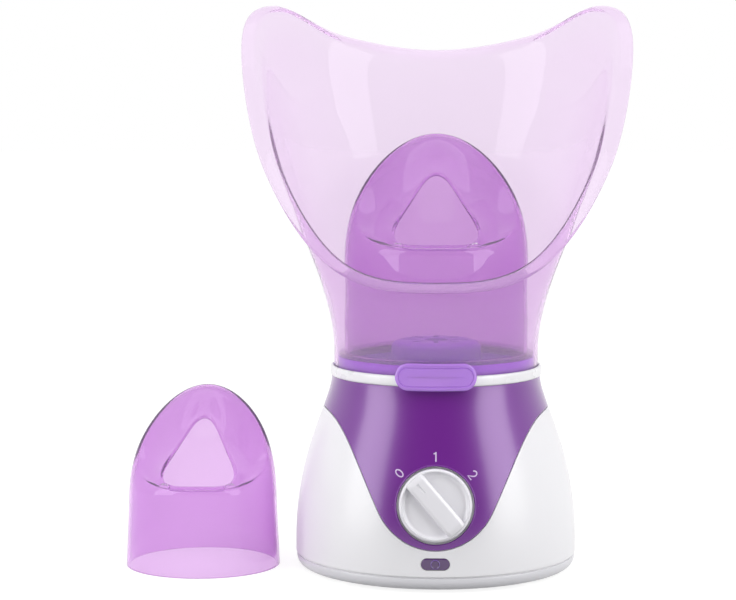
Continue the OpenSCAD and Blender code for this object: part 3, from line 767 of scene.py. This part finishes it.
def grip_bar():
    """The bar across the knob's face: a crowned block with round ends that follow the rim."""
    length = KNOB_R - 1.2 * MM
    half = GRIP_W / 2
    bevel = 1.5 * MM
    low = KNOB_OUT - 2.4 * MM
    top = KNOB_OUT + GRIP_H
    across = [(-half, low), (-half, top - bevel * 0.7), (-half + bevel, top), (half - bevel, top)]
    across += [(half, top - bevel * 0.7), (half, low)]
    across = rounded_line([(x, z) for x, z in across], [0, 0.0005, 0.0005, 0.0005, 0.0005, 0], 5)
    rows = []
    for u in np.linspace(-1, 1, 41):
        row = []
        for x, z in across:
            reach = math.sqrt(max(length ** 2 - x * x, 0))
            fall = 0.9 * MM * max(0, abs(u) - 0.86) / 0.14
            row.append(AT_GRIP @ Vector((x, u * reach, z - (fall if z > low else 0))))
        rows.append(row)
    return open_strip("knob_grip", rows, "knob")


grip = grip_bar()
POINTER_R = 0.55 * MM
POINTER_LENGTH = 5.5 * MM
pointer_at = Matrix.Translation((0, KNOB_R - 7.2 * MM, KNOB_OUT + GRIP_H + 0.12 * MM))
pointer_at = AT_GRIP @ pointer_at @ Matrix.Rotation(math.radians(90), 4, "X")
cut(grip, drum(POINTER_R, POINTER_LENGTH, pointer_at, 24))
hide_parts("control_knob")
knob_abs = moulded(
    "knob ABS", (0.76, 0.75, 0.79), roughness=0.2, haze=0.08, coat_weight=0.5, coat_roughness=0.05
)
paint(knob, knob_abs)
paint(grip, knob_abs)


# ---- Indicator ----
# A dark violet window in a pill-shaped slot under the knob, with a small round lens ring over the pilot lamp.
WINDOW_PROUD = 0.3 * MM


def stack(name, rings, body):
    """A closed piece through rings of equal length, one on the next, capped at both ends."""
    n = len(rings[0])
    verts = [tuple(p) for ring in rings for p in ring]
    faces = [
        (k * n + i, k * n + (i + 1) % n, (k + 1) * n + (i + 1) % n, (k + 1) * n + i)
        for k in range(len(rings) - 1) for i in range(n)
    ]
    faces += [tuple(range(n)), tuple(range((len(rings) - 1) * n, len(rings) * n))]
    return fitted(add_object(name, verts, faces), body)


def window_ring(inset, sunk):
    """One outline of the window; sunk is its depth under the window's face, or None for its flat back."""
    ring = []
    for x, v in pill_outline(LENS_W - 2 * inset, LENS_H - 2 * inset):
        y = lens_high.y if sunk is None else face_depth_at(x, LENS_Z + v) - WINDOW_PROUD + sunk
        ring.append((x, y, LENS_Z + v))
    return ring


WINDOW_EDGE = 0.5 * MM
window_rings = [window_ring(0, None)]
for a in np.linspace(0, 90, 6):
    s = math.radians(a)
    window_rings.append(window_ring(WINDOW_EDGE * (1 - math.cos(s)), WINDOW_EDGE * (1 - math.sin(s))))
window_rings += [window_ring(inset * MM, 0) for inset in (1.2, 2.0, 2.6, 2.85)]
window = stack("indicator_window", window_rings, "base")
RING_R = 2.0 * MM
RING_BEAD = 0.28 * MM
ring_y = face_depth_at(0, LENS_Z) - WINDOW_PROUD
ring_profile = [
    (RING_R + RING_BEAD * math.cos(a), RING_BEAD * math.sin(a)) for a in full_turn(12)
]
ring_place = Matrix.Translation((0, ring_y, LENS_Z)) @ Matrix.Rotation(math.radians(90), 4, "X")
indicator_ring = lathe("indicator_ring", ring_profile, "base", ring_place, 64)
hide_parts("indicator_lens")
tinted_window = moulded(
    "tinted window", (0.07, 0.02, 0.12), roughness=0.12, haze=0.05, coat_weight=0.8, coat_roughness=0.04
)
paint(window, tinted_window)
ring_violet = moulded("ring violet", (0.16, 0.08, 0.36), roughness=0.15, haze=0.05, coat_weight=0.6)
paint(indicator_ring, ring_violet)
paint(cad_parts["lamp_bezel"], tinted_window)


# ---- Works inside ----
# The heated cup, its clamp, the thermostat, the switch, the pilot lamp and the wiring keep their packed
# shapes and take the finish of what each is made of.


def worn_metal(name, color, roughness, grain=(1, 1, 1)):
    """Bare metal whose roughness wanders along a drawn or turned grain."""
    finish, tree, shader = principled(name)
    place = tree.nodes.new("ShaderNodeTexCoord")
    stretch = tree.nodes.new("ShaderNodeVectorMath")
    stretch.operation = "MULTIPLY"
    stretch.inputs[1].default_value = grain
    grit = noise(tree.nodes, 260, 4)
    level = tree.nodes.new("ShaderNodeMapRange")
    level.inputs["To Min"].default_value = roughness * 0.7
    level.inputs["To Max"].default_value = roughness * 1.4
    link(tree, place.outputs["Object"], stretch.inputs[0])
    link(tree, stretch.outputs[0], grit.inputs["Vector"])
    link(tree, grit.outputs["Fac"], level.inputs["Value"])
    link(tree, level.outputs[0], shader.inputs["Roughness"])
    shader.inputs["Base Color"].default_value = (*color, 1)
    shader.inputs["Metallic"].default_value = 1
    return finish


steel = worn_metal("zinc-plated steel", (0.62, 0.62, 0.6), 0.32)
spun_aluminium = worn_metal("spun aluminium", (0.8, 0.8, 0.79), 0.28, (0.3, 0.3, 3))
brass = worn_metal("brass", (0.75, 0.58, 0.28), 0.3)
silicone = moulded("white silicone", (0.75, 0.74, 0.72), roughness=0.5, haze=0.15, subsurface_weight=0.2)
ceramic = moulded("heater ceramic", (0.72, 0.66, 0.56), roughness=0.6, haze=0.2, ripple=0.6)
black_nylon = moulded("dark switch resin", (0.03, 0.03, 0.035), roughness=0.4, haze=0.12)
fuse_sleeve = moulded("glass fibre sleeve", (0.7, 0.62, 0.5), roughness=0.7, haze=0.2, ripple=0.9)
white_nylon = moulded("natural nylon", (0.78, 0.77, 0.72), roughness=0.42, haze=0.12, subsurface_weight=0.1)
amber = moulded("amber lamp", (0.7, 0.2, 0.02), roughness=0.15, haze=0.05, transmission_weight=0.5)
brown_pvc = moulded("brown sleeve", (0.12, 0.045, 0.02), roughness=0.45, haze=0.12)
white_pvc = moulded("white sleeve", (0.76, 0.75, 0.72), roughness=0.45, haze=0.12)
red_pvc = moulded("red sleeve", (0.5, 0.02, 0.015), roughness=0.45, haze=0.12)

INNER_FINISHES = {
    steel: ("cover_screws", "collar_screws", "clamp_screws", "terminal_screws", "switch_shaft"),
    spun_aluminium: ("heating_cup", "heater_clamp"),
    brass: ("switch_nut",),
    silicone: ("cup_seal",),
    ceramic: ("heater_plate",),
    black_nylon: ("thermostat", "rotary_switch"),
    fuse_sleeve: ("thermal_fuse",),
    white_nylon: ("terminal_block", "cord_gland", "gland_nut"),
    amber: ("pilot_lamp",),
    brown_pvc: ("supply_wires",),
    white_pvc: ("heater_wires",),
    red_pvc: ("lamp_wires",),
}
for finish, names in INNER_FINISHES.items():
    for name in names:
        paint(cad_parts[name], finish)


# ---- Steam cap ----
# The violet cap over the cup, which shows dark through the hood: a drum with a rounded shoulder, a flat lid
# round its foot and eight slots round the outlet.
cap_low, cap_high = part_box("steam_cap")
CAP_TOP = cap_high.z
CAP_R = 22.5 * MM
CAP_LID_R = 38 * MM
CAP_LID_T = 1.6 * MM
OUTLET_R = 6 * MM

SLOTS = 8
SLOT_MIDDLE_R = 12.5 * MM
SLOT_SIZE = (7 * MM, 2.5 * MM, 6 * MM, 1)

cap_line = [
    (CAP_R - 2 * MM, cap_low.z),
    (CAP_R - 2 * MM, CAP_TOP - 4 * MM),
    (CAP_R - 5.5 * MM, CAP_TOP - 1.8 * MM),
    (OUTLET_R, CAP_TOP - 1.8 * MM),
    (OUTLET_R, CAP_TOP),
    (CAP_R - 5 * MM, CAP_TOP),
    (CAP_R, CAP_TOP - 1.5 * MM),
    (CAP_R, cap_low.z + CAP_LID_T),
    (CAP_LID_R, cap_low.z + CAP_LID_T),
    (CAP_LID_R, cap_low.z),
]
cap_radii = [r * MM for r in (0, 1.5, 1, 0.3, 0.5, 1.5, 2.5, 1.2, 0.5, 0)]
steam_cap = lathe("steam_cap_shell", rounded_line(cap_line, cap_radii), "base", around=192)
for k in range(SLOTS):
    turn = Matrix.Rotation(2 * math.pi * k / SLOTS, 4, "Z")
    middle = Matrix.Translation((SLOT_MIDDLE_R, 0, CAP_TOP - 1 * MM))
    place = turn @ middle @ Matrix.Diagonal(SLOT_SIZE)
    cut(steam_cap, primitive("tool", bmesh.ops.create_cube, size=1, matrix=place))
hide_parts("steam_cap")
# This violet is the cap's own colour, and it also paints the shade sleeve inside the collar.
cap_violet_and_shade = moulded("violet cap", (0.46, 0.025, 0.92), roughness=0.28, haze=0.08, coat_weight=0.2)
paint(steam_cap, cap_violet_and_shade)

# A thin violet sleeve lines the collar's inside and wraps its ridge; it is painted shade, the deep violet
# shade seen through the hood at its foot.
SHADE_SLEEVE_T = 0.15 * MM
SHADE_SLEEVE_INNER_R = CAP_LID_R + 0.3 * MM
shade_sleeve_line = [
    (SHADE_SLEEVE_INNER_R, CASING_TOP + 0.4 * MM),
    (RIDGE_R - 2.9 * MM, CASING_TOP + 0.4 * MM),
    (RIDGE_R - RIDGE_T - SHADE_SLEEVE_T, CASING_TOP + 0.9 * MM),
    (RIDGE_R - RIDGE_T - SHADE_SLEEVE_T, RIDGE_TOP + SHADE_SLEEVE_T),
    (RIDGE_R + SHADE_SLEEVE_T, RIDGE_TOP + SHADE_SLEEVE_T),
    (RIDGE_R + SHADE_SLEEVE_T, CASING_TOP + 1.3 * MM),
    (RIDGE_R - 0.2 * MM, CASING_TOP + 1.3 * MM),
    (RIDGE_R - 0.2 * MM, RIDGE_TOP - 0.3 * MM),
    (RIDGE_R - 2.2 * MM, RIDGE_TOP - 0.3 * MM),
    (RIDGE_R - 2.2 * MM, CASING_TOP + 0.1 * MM),
    (SHADE_SLEEVE_INNER_R, CASING_TOP + 0.1 * MM),
]
# Painted shade: the sleeve darkens the collar's inside to deep violet under the hood.
sleeve = lathe("painted_shade_sleeve", shade_sleeve_line, "base", around=192)
paint(sleeve, cap_violet_and_shade)


# ---- Clear plastics ----
# The hood and both masks are clear violet mouldings. Light that crosses a wall takes its tint, and the wall
# has the slow ripple of a pressed sheet.
CLEAR_BEND = 1.16
CLEAR_RIPPLE = 0.25


def clear_tint(name, color, depth_color, density, sheen):
    """Clear tinted plastic: a tint on its skin, a deeper one with thickness, and its own gloss."""
    finish, tree, shader = skinned(name, color, 0.03, 0.02, CLEAR_RIPPLE, 0.02)
    shader.inputs["Transmission Weight"].default_value = 0.9
    shader.inputs["IOR"].default_value = CLEAR_BEND
    shader.inputs["Coat Weight"].default_value = sheen
    shader.inputs["Coat Roughness"].default_value = 0.06
    depth = tree.nodes.new("ShaderNodeVolumeAbsorption")
    depth.inputs["Color"].default_value = (*depth_color, 1)
    depth.inputs["Density"].default_value = density
    link(tree, depth.outputs[0], tree.nodes["Material Output"].inputs["Volume"])
    return finish


clear_violet = clear_tint("clear violet", (0.85, 0.66, 0.90), (0.76, 0.07, 0.88), 115, 0.5)
clear_lavender = clear_tint("clear lavender", (0.93, 0.85, 0.95), (0.76, 0.07, 0.88), 58, 0.2)


# ---- Nose hood and nasal mask ----
# Two mouldings of one design: a round wall that rises to the back, rolls over at its crest and dips in to a
# rounded triangular window with a soft lip. The hood stands on the collar, and the small mask beside it.
HOOD_WALL = 1.6 * MM
HOOD_LIP_R = 1.1 * MM
WINDOW_Q = 2.56
WINDOW_FRONT = 0.6
WINDOW_TURN = math.radians(112.3)
WINDOW_BACK = 0.294
WINDOW_DROP = 0.7 * MM
CREST_POWER = 1.8
CREST_LEAN = 30 * MM


def radial_at(turn):
    """Unit vector out from the axis, at a turn from the front towards +X."""
    return np.array([math.sin(turn), -math.cos(turn), 0])


def window_reach(turn, side):
    """Distance from the window's middle to its rounded triangular edge, for a hood of radius 1."""
    total = (max(0, math.cos(turn)) / WINDOW_FRONT) ** WINDOW_Q
    for way in (-WINDOW_TURN, WINDOW_TURN):
        total += (max(0, math.cos(turn + way)) / side) ** WINDOW_Q
    return total ** (-1 / WINDOW_Q)


def hood_point(shape, turn, s):
    """Outer face of a hood: s runs up the wall to 1, over the crest to 2 and in to the window's edge at 3."""
    r, foot, front_z, rise, front_roll, side, slope = shape
    k = (1 - math.cos(turn)) / 2
    roll = front_roll * (1 + k)
    lean = roll + (CREST_LEAN - roll) * (1 - (1 - k) ** 3) ** 2
    top_z = front_z + rise * k ** CREST_POWER
    radial = radial_at(turn)
    up = np.array([0, 0, 1])
    if s <= 1:
        return (foot + (r - foot) * s) * radial + (top_z - lean) * s * up
    if s <= 2:
        a = math.pi / 2 * (s - 1)
        return (r - roll + roll * math.cos(a)) * radial + (top_z - lean + lean * math.sin(a)) * up
    w = r * window_reach(turn, side)
    edge = np.array([
        w * math.sin(turn),
        -WINDOW_BACK * r - w * math.cos(turn) * math.cos(slope),
        front_z - WINDOW_DROP + (WINDOW_FRONT * r - w * math.cos(turn)) * math.sin(slope),
    ])
    top = (r - roll) * radial + top_z * up
    run = np.linalg.norm((top - edge)[:2])
    bend = [top, top - 0.45 * run * radial, edge + 0.3 * (top - edge) - 0.04 * r * up, edge]
    return bezier(bend, s - 2)


def normal_of(surface, turn, s, s_max):
    """Unit normal of a surface of (turn, s), pointing out of the shell."""
    u = surface(turn + 0.01, s) - surface(turn - 0.01, s)
    v = surface(turn, min(s + 0.01, s_max)) - surface(turn, max(s - 0.01, 0))
    n = np.cross(u, v)
    return n / np.linalg.norm(n)


def hood_ring(shape, turn):
    """Closed profile of a hood at one turn: outer face, rolled lip, inner face, foot."""
    steps = list(np.linspace(0, 1, 16)) + list(np.linspace(1.06, 2, 16)) + list(np.linspace(2.05, 3, 24))

    def surface(t, s):
        return hood_point(shape, t, s)

    outer = [(surface(turn, s), normal_of(surface, turn, s, 3)) for s in steps]
    line = [p for p, n in outer[:-1]]
    edge, n = outer[-1]
    inward = edge - outer[-2][0]
    inward = inward / np.linalg.norm(inward)
    middle = edge - n * HOOD_WALL / 2
    for a in np.linspace(0, math.pi, 13):
        line.append(middle + HOOD_LIP_R * (math.cos(a) * n + math.sin(a) * inward))
    line += [p - HOOD_WALL * n for p, n in reversed(outer[1:-1])]
    radial = radial_at(turn)
    line.append(outer[0][0] - HOOD_WALL * radial)
    return line


def hood_piece(name, shape, place, body):
    """A whole hood, moved to its place. Its shape is radius, foot radius, front height, rise to the back,
    roll of the front crest, window's side reach and window's slope."""
    rings = [hood_ring(shape, t) for t in full_turn(300)]
    piece = skin_rings(name, np.array(rings) + np.array(place), body)
    paint(piece, clear_violet)
    return piece


HOOD_SEAT_Z = RIDGE_TOP + 0.3 * MM
HOOD_R = 46 * MM
HOOD_FRONT_Z = 165 * MM
HOOD_RISE = 52 * MM
HOOD_FRONT_ROLL = 4.5 * MM
HOOD_WINDOW_SIDE = 0.3445
HOOD_WINDOW_SLOPE = math.radians(34.5)
nose_hood_shape = (
    HOOD_R, HOOD_R, HOOD_FRONT_Z - HOOD_SEAT_Z, HOOD_RISE,
    HOOD_FRONT_ROLL, HOOD_WINDOW_SIDE, HOOD_WINDOW_SLOPE,
)
nose_hood = hood_piece("nose_hood_shell", nose_hood_shape, (0, 0, HOOD_SEAT_Z), "nose_hood")
SKIRT_R = RIDGE_R - RIDGE_T - MASK_GAP
SKIRT_T = 1.8 * MM
SKIRT_H = 3.5 * MM
FOOT_RIM_R = RIDGE_R - 0.1 * MM
hood_foot_line = [
    (SKIRT_R - SKIRT_T, HOOD_SEAT_Z - SKIRT_H),
    (SKIRT_R, HOOD_SEAT_Z - SKIRT_H),
    (SKIRT_R, HOOD_SEAT_Z),
    (FOOT_RIM_R, HOOD_SEAT_Z),
    (FOOT_RIM_R, HOOD_SEAT_Z + SKIRT_T),
    (SKIRT_R - SKIRT_T, HOOD_SEAT_Z + SKIRT_T),
]
hood_foot_radii = [r * MM for r in (0, 0.4, 0.2, 0.5, 0.6, 0)]
hood_foot = lathe(
    "nose_hood_foot", rounded_line(hood_foot_line, hood_foot_radii), "nose_hood", around=192
)
paint(hood_foot, clear_violet)
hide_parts("nose_hood")

NASAL_X = 118 * MM
NASAL_R = 37.5 * MM
NASAL_FOOT_R = 39 * MM
NASAL_FRONT_Z = 44.5 * MM
NASAL_RISE = 43 * MM
NASAL_FRONT_ROLL = 3.6 * MM
NASAL_WINDOW_SIDE = 0.38
NASAL_WINDOW_SLOPE = math.radians(36)
nasal_shape = (
    NASAL_R, NASAL_FOOT_R, NASAL_FRONT_Z, NASAL_RISE,
    NASAL_FRONT_ROLL, NASAL_WINDOW_SIDE, NASAL_WINDOW_SLOPE,
)
nasal_mask = hood_piece("nasal_mask_shell", nasal_shape, (-NASAL_X, 0, 0), "nasal_mask")
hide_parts("nasal_mask")


# ---- Face mask ----
# The big clear lavender mask: a neck in the collar's groove, a wall that flares out and leans back, and a
# flat flange round its rim that dips in front and climbs to an ear on each side. A violet tab lifts it off.
MASK_FOOT_Z = CASING_TOP + 1.5 * MM
NECK_TOP_Z = CASING_TOP + 14 * MM
MASK_WALL = 1.6 * MM
MASK_HALF_W = 98 * MM
MASK_HALF_D = 70 * MM
MASK_BACK = 10 * MM
FLANGE_W = 8 * MM
FLANGE_T = 1.8 * MM
FLANGE_TILT = math.radians(39)
RIM_FRONT_Z = 143 * MM
RIM_EAR_Z = 281 * MM
RIM_CLIMB = RIM_EAR_Z - RIM_FRONT_Z
# Shares of the way from the neck to the flange at which the wall's curve turns.
NECK_UPRIGHT = 0.16
FLARE_OUT = 0.53
FLARE_UP = 0.49
# Heights of the rim's edge every 30 degrees from the front round to the back.
RIM_HEIGHTS = [
    RIM_FRONT_Z,
    RIM_FRONT_Z + 10 * MM,
    RIM_FRONT_Z + 0.42 * RIM_CLIMB,
    RIM_FRONT_Z + 0.87 * RIM_CLIMB,
    RIM_EAR_Z,
    RIM_EAR_Z - 15 * MM,
    RIM_EAR_Z - 22 * MM,
]


def rim_height(turn):
    """Height of the rim's edge, a smooth curve through the stated heights."""
    x = abs((turn + math.pi) % (2 * math.pi) - math.pi) / (math.pi / 6)
    i = min(int(x), 5)
    f = x - i
    a, b, c = RIM_HEIGHTS[abs(i - 1)], RIM_HEIGHTS[i], RIM_HEIGHTS[i + 1]
    d = RIM_HEIGHTS[i + 2] if i + 2 <= 6 else RIM_HEIGHTS[5]
    return b + 0.5 * f * (c - a + f * (2 * a - 5 * b + 4 * c - d + f * (3 * (b - c) + d - a)))


def rim_out(turn):
    """Direction in which the flange runs out."""
    c = -math.cos(turn)
    return np.array([math.sin(turn), c * math.cos(FLANGE_TILT), c * math.sin(FLANGE_TILT)])


def rim_edge(turn):
    """Point on the rim's outer edge."""
    y = MASK_BACK - MASK_HALF_D * math.cos(turn)
    return np.array([MASK_HALF_W * math.sin(turn), y, rim_height(turn)])


def mask_point(turn, s):
    """Outer face of the mask's wall, from the neck at 0 to the root of the flange at 1."""
    a = np.array([MASK_NECK_R * math.sin(turn), -MASK_NECK_R * math.cos(turn), NECK_TOP_Z])
    d = rim_edge(turn) - FLANGE_W * rim_out(turn) - a
    flare = np.array([FLARE_OUT, FLARE_OUT, FLARE_UP])
    return bezier([a, a + [0, 0, NECK_UPRIGHT * d[2]], a + flare * d, a + d], s)


def mask_ring(turn):
    """Closed profile of the mask at one turn."""
    radial = radial_at(turn)
    steps = np.linspace(0, 1, 60)
    wall = [(mask_point(turn, s), normal_of(mask_point, turn, s, 1)) for s in steps]
    out = rim_out(turn)
    along = rim_edge(turn + 0.01) - rim_edge(turn - 0.01)
    over = np.cross(along, out)
    over = over / np.linalg.norm(over)
    if over[2] < 0:
        over = -over
    root = wall[-1][0]
    half = FLANGE_T / 2
    tip = root + (FLANGE_W - half) * out + half * over
    foot = np.array([0, 0, MASK_FOOT_Z])
    line = [foot + (MASK_NECK_R - 0.3 * MM) * radial, foot + [0, 0, 0.3 * MM] + MASK_NECK_R * radial]
    line += [p for p, n in wall[:-5]]
    under = [wall[-6][0], wall[-3][0], root, root + 2.5 * MM * out]
    line += [bezier(under, t) for t in np.linspace(0.12, 1, 8)]
    for a in np.linspace(-90, 90, 13):
        s = math.radians(a)
        line.append(tip + half * (math.cos(s) * out + math.sin(s) * over))
    inner = [p - MASK_WALL * n for p, n in wall]
    upper = [root + 2.5 * MM * out + FLANGE_T * over, root + FLANGE_T * over, inner[-3], inner[-7]]
    line += [bezier(upper, t) for t in np.linspace(0, 0.9, 8)]
    line += list(reversed(inner[:-7]))
    line.append(foot + (MASK_NECK_R - MASK_WALL) * radial)
    return line


face_mask = skin_rings(
    "face_mask_shell",
    [mask_ring(t) for t in full_turn(480)],
    "face_mask",
)
paint(face_mask, clear_lavender)
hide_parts("face_mask")

# The thumb tab follows the collar, joins the neck over the collar's edge and has a fine line in its outline.
TAB_W = 41 * MM
TAB_H = 13.4 * MM
TAB_LOW_Z = CASING_TOP - 1.6 * MM
TAB_MID_Z = TAB_LOW_Z + TAB_H / 2
TAB_BACK_R = COLLAR_R + 0.4 * MM
TAB_FRONT_R = TAB_BACK_R + 2.6 * MM


def tab_ring(inset, radius):
    """One outline of the tab, wrapped on a cylinder."""
    return [
        (radius * math.sin(x / TAB_FRONT_R), -radius * math.cos(x / TAB_FRONT_R), TAB_MID_Z + v)
        for x, v in pill_outline(TAB_W - 2 * inset, TAB_H - 2 * inset, 40)
    ]


tab_rings = [
    tab_ring(0.8 * MM, TAB_BACK_R),
    tab_ring(0.2 * MM, TAB_BACK_R + 0.2 * MM),
    tab_ring(0, TAB_BACK_R + 0.8 * MM),
]
TAB_EDGE = 1.0 * MM
for a in np.linspace(0, 90, 7):
    s = math.radians(a)
    tab_rings.append(tab_ring(TAB_EDGE * (1 - math.cos(s)), TAB_FRONT_R - TAB_EDGE + TAB_EDGE * math.sin(s)))
LINE_IN = 1.9 * MM
LINE_W = 0.6 * MM
LINE_DEPTH = 0.3 * MM
for a in np.linspace(0, 180, 9):
    s = math.radians(a)
    tab_rings.append(tab_ring(LINE_IN + LINE_W * a / 180, TAB_FRONT_R - LINE_DEPTH * math.sin(s)))
tab_rings += [tab_ring(inset * MM, TAB_FRONT_R) for inset in (3.5, 4.5, 5.5, 6.2, 6.6)]
thumb_tab = stack("thumb_tab", tab_rings, "face_mask")

# A short web ties the tab back to the neck over the collar.
WEB_HALF_DEG = 17
WEB_INNER_R = MASK_NECK_R - 0.8 * MM
WEB_OUTER_R = TAB_BACK_R + 0.6 * MM
WEB_LOW = COLLAR_TOP + 0.4 * MM
WEB_HIGH = TAB_LOW_Z + TAB_H - 1.6 * MM


def web_column(turn):
    """Closed section of the web at one turn."""
    radial = radial_at(turn)
    corners = [
        (WEB_INNER_R, WEB_LOW),
        (WEB_OUTER_R, WEB_LOW),
        (WEB_OUTER_R, WEB_HIGH),
        (WEB_INNER_R, WEB_HIGH),
    ]
    return [r * radial + np.array([0, 0, z]) for r, z in corners]


web_half = math.radians(WEB_HALF_DEG)
tab_web = open_strip(
    "tab_web", [web_column(t) for t in np.linspace(-web_half, web_half, 60)], "face_mask"
)
tab_violet = moulded(
    "frosted tab", (0.60, 0.28, 0.95), roughness=0.2, haze=0.06, transmission_weight=0.35, coat_weight=0.4
)
paint(thumb_tab, tab_violet)
paint(tab_web, tab_violet)


# ---- Floor and light ----
# A white studio: a pale floor that keeps a soft shadow, two tall soft boxes at the sides for the streaks on
# the cover, and one large soft box above. Rays that see the world straight or through plastic meet white.
floor = primitive("floor", bmesh.ops.create_grid, x_segments=1, y_segments=1, size=6)
floor.location = (0, 0, -0.0002)

FLOOR_DIFFUSE = 0.3
FLOOR_GLOW = 0.86
paper, paper_tree, paper_shader = principled("studio paper")
paper_shader.inputs["Base Color"].default_value = (FLOOR_DIFFUSE, FLOOR_DIFFUSE, FLOOR_DIFFUSE, 1)
paper_shader.inputs["Roughness"].default_value = 0.9
paper_shader.inputs["Specular IOR Level"].default_value = 0
paper_shader.inputs["Emission Color"].default_value = (1, 1, 1, 1)
rays = paper_tree.nodes.new("ShaderNodeLightPath")
seen, seen_or_through, glow = (paper_tree.nodes.new("ShaderNodeMath") for _ in range(3))
seen.operation = "MAXIMUM"
seen_or_through.operation = "MAXIMUM"
glow.operation = "MULTIPLY"
glow.inputs[1].default_value = FLOOR_GLOW
link(paper_tree, rays.outputs["Is Camera Ray"], seen.inputs[0])
link(paper_tree, rays.outputs["Is Glossy Ray"], seen.inputs[1])
link(paper_tree, seen.outputs[0], seen_or_through.inputs[0])
link(paper_tree, rays.outputs["Is Transmission Ray"], seen_or_through.inputs[1])
link(paper_tree, seen_or_through.outputs[0], glow.inputs[0])
link(paper_tree, glow.outputs[0], paper_shader.inputs["Emission Strength"])
paint(floor, paper)

world = bpy.data.worlds.new("studio")
scene.world = world
world.use_nodes = True
sky = world.node_tree
sky.nodes.clear()
WORLD_DIFFUSE = 0.55
GLOSS_FRONT = 0.08
GLOSS_BACK = 1.0
sky_out = sky.nodes.new("ShaderNodeOutputWorld")
light_path = sky.nodes.new("ShaderNodeLightPath")
direction = sky.nodes.new("ShaderNodeTexCoord")
split = sky.nodes.new("ShaderNodeSeparateXYZ")
gradient = sky.nodes.new("ShaderNodeMapRange")
gradient.interpolation_type = "SMOOTHSTEP"
gradient.inputs["From Min"].default_value = -0.75
gradient.inputs["From Max"].default_value = 0.35
gradient.inputs["To Min"].default_value = GLOSS_FRONT
gradient.inputs["To Max"].default_value = GLOSS_BACK
link(sky, direction.outputs["Generated"], split.inputs[0])
link(sky, split.outputs["Y"], gradient.inputs["Value"])


def background(strength):
    """A white world of that strength."""
    node = sky.nodes.new("ShaderNodeBackground")
    node.inputs["Color"].default_value = (1, 1, 1, 1)
    node.inputs["Strength"].default_value = strength
    return node


def mixed(switch, first, second):
    """First shader, or second where switch is 1."""
    node = sky.nodes.new("ShaderNodeMixShader")
    link(sky, switch, node.inputs[0])
    link(sky, first, node.inputs[1])
    link(sky, second, node.inputs[2])
    return node.outputs[0]


plain = background(1)
soft = background(WORLD_DIFFUSE)
mirror = background(1)
link(sky, gradient.outputs[0], mirror.inputs["Strength"])
result = mixed(light_path.outputs["Is Glossy Ray"], soft.outputs[0], mirror.outputs[0])
result = mixed(light_path.outputs["Is Transmission Ray"], result, plain.outputs[0])
result = mixed(light_path.outputs["Is Camera Ray"], result, plain.outputs[0])
link(sky, result, sky_out.inputs["Surface"])


def soft_box(name, location, target, width, height, power):
    """A rectangular lamp turned to a target, unseen through the plastics."""
    lamp = bpy.data.lights.new(name, "AREA")
    lamp.shape = "RECTANGLE"
    lamp.size = width
    lamp.size_y = height
    lamp.energy = power
    holder = bpy.data.objects.new(name, lamp)
    scene.collection.objects.link(holder)
    holder.location = location
    holder.rotation_euler = (Vector(target) - Vector(location)).to_track_quat("-Z", "Y").to_euler()
    holder.visible_transmission = False


for name, side in (("left soft box", -1), ("right soft box", 1)):
    soft_box(name, (0.88 * side, -0.47, 0.40), (0, 0, 0.08), 0.62, 1.1, 8)
soft_box("top soft box", (0, -0.1, 1.4), (0, 0, 0.1), 1.0, 1.0, 4)


scene.view_settings.view_transform = "Standard"
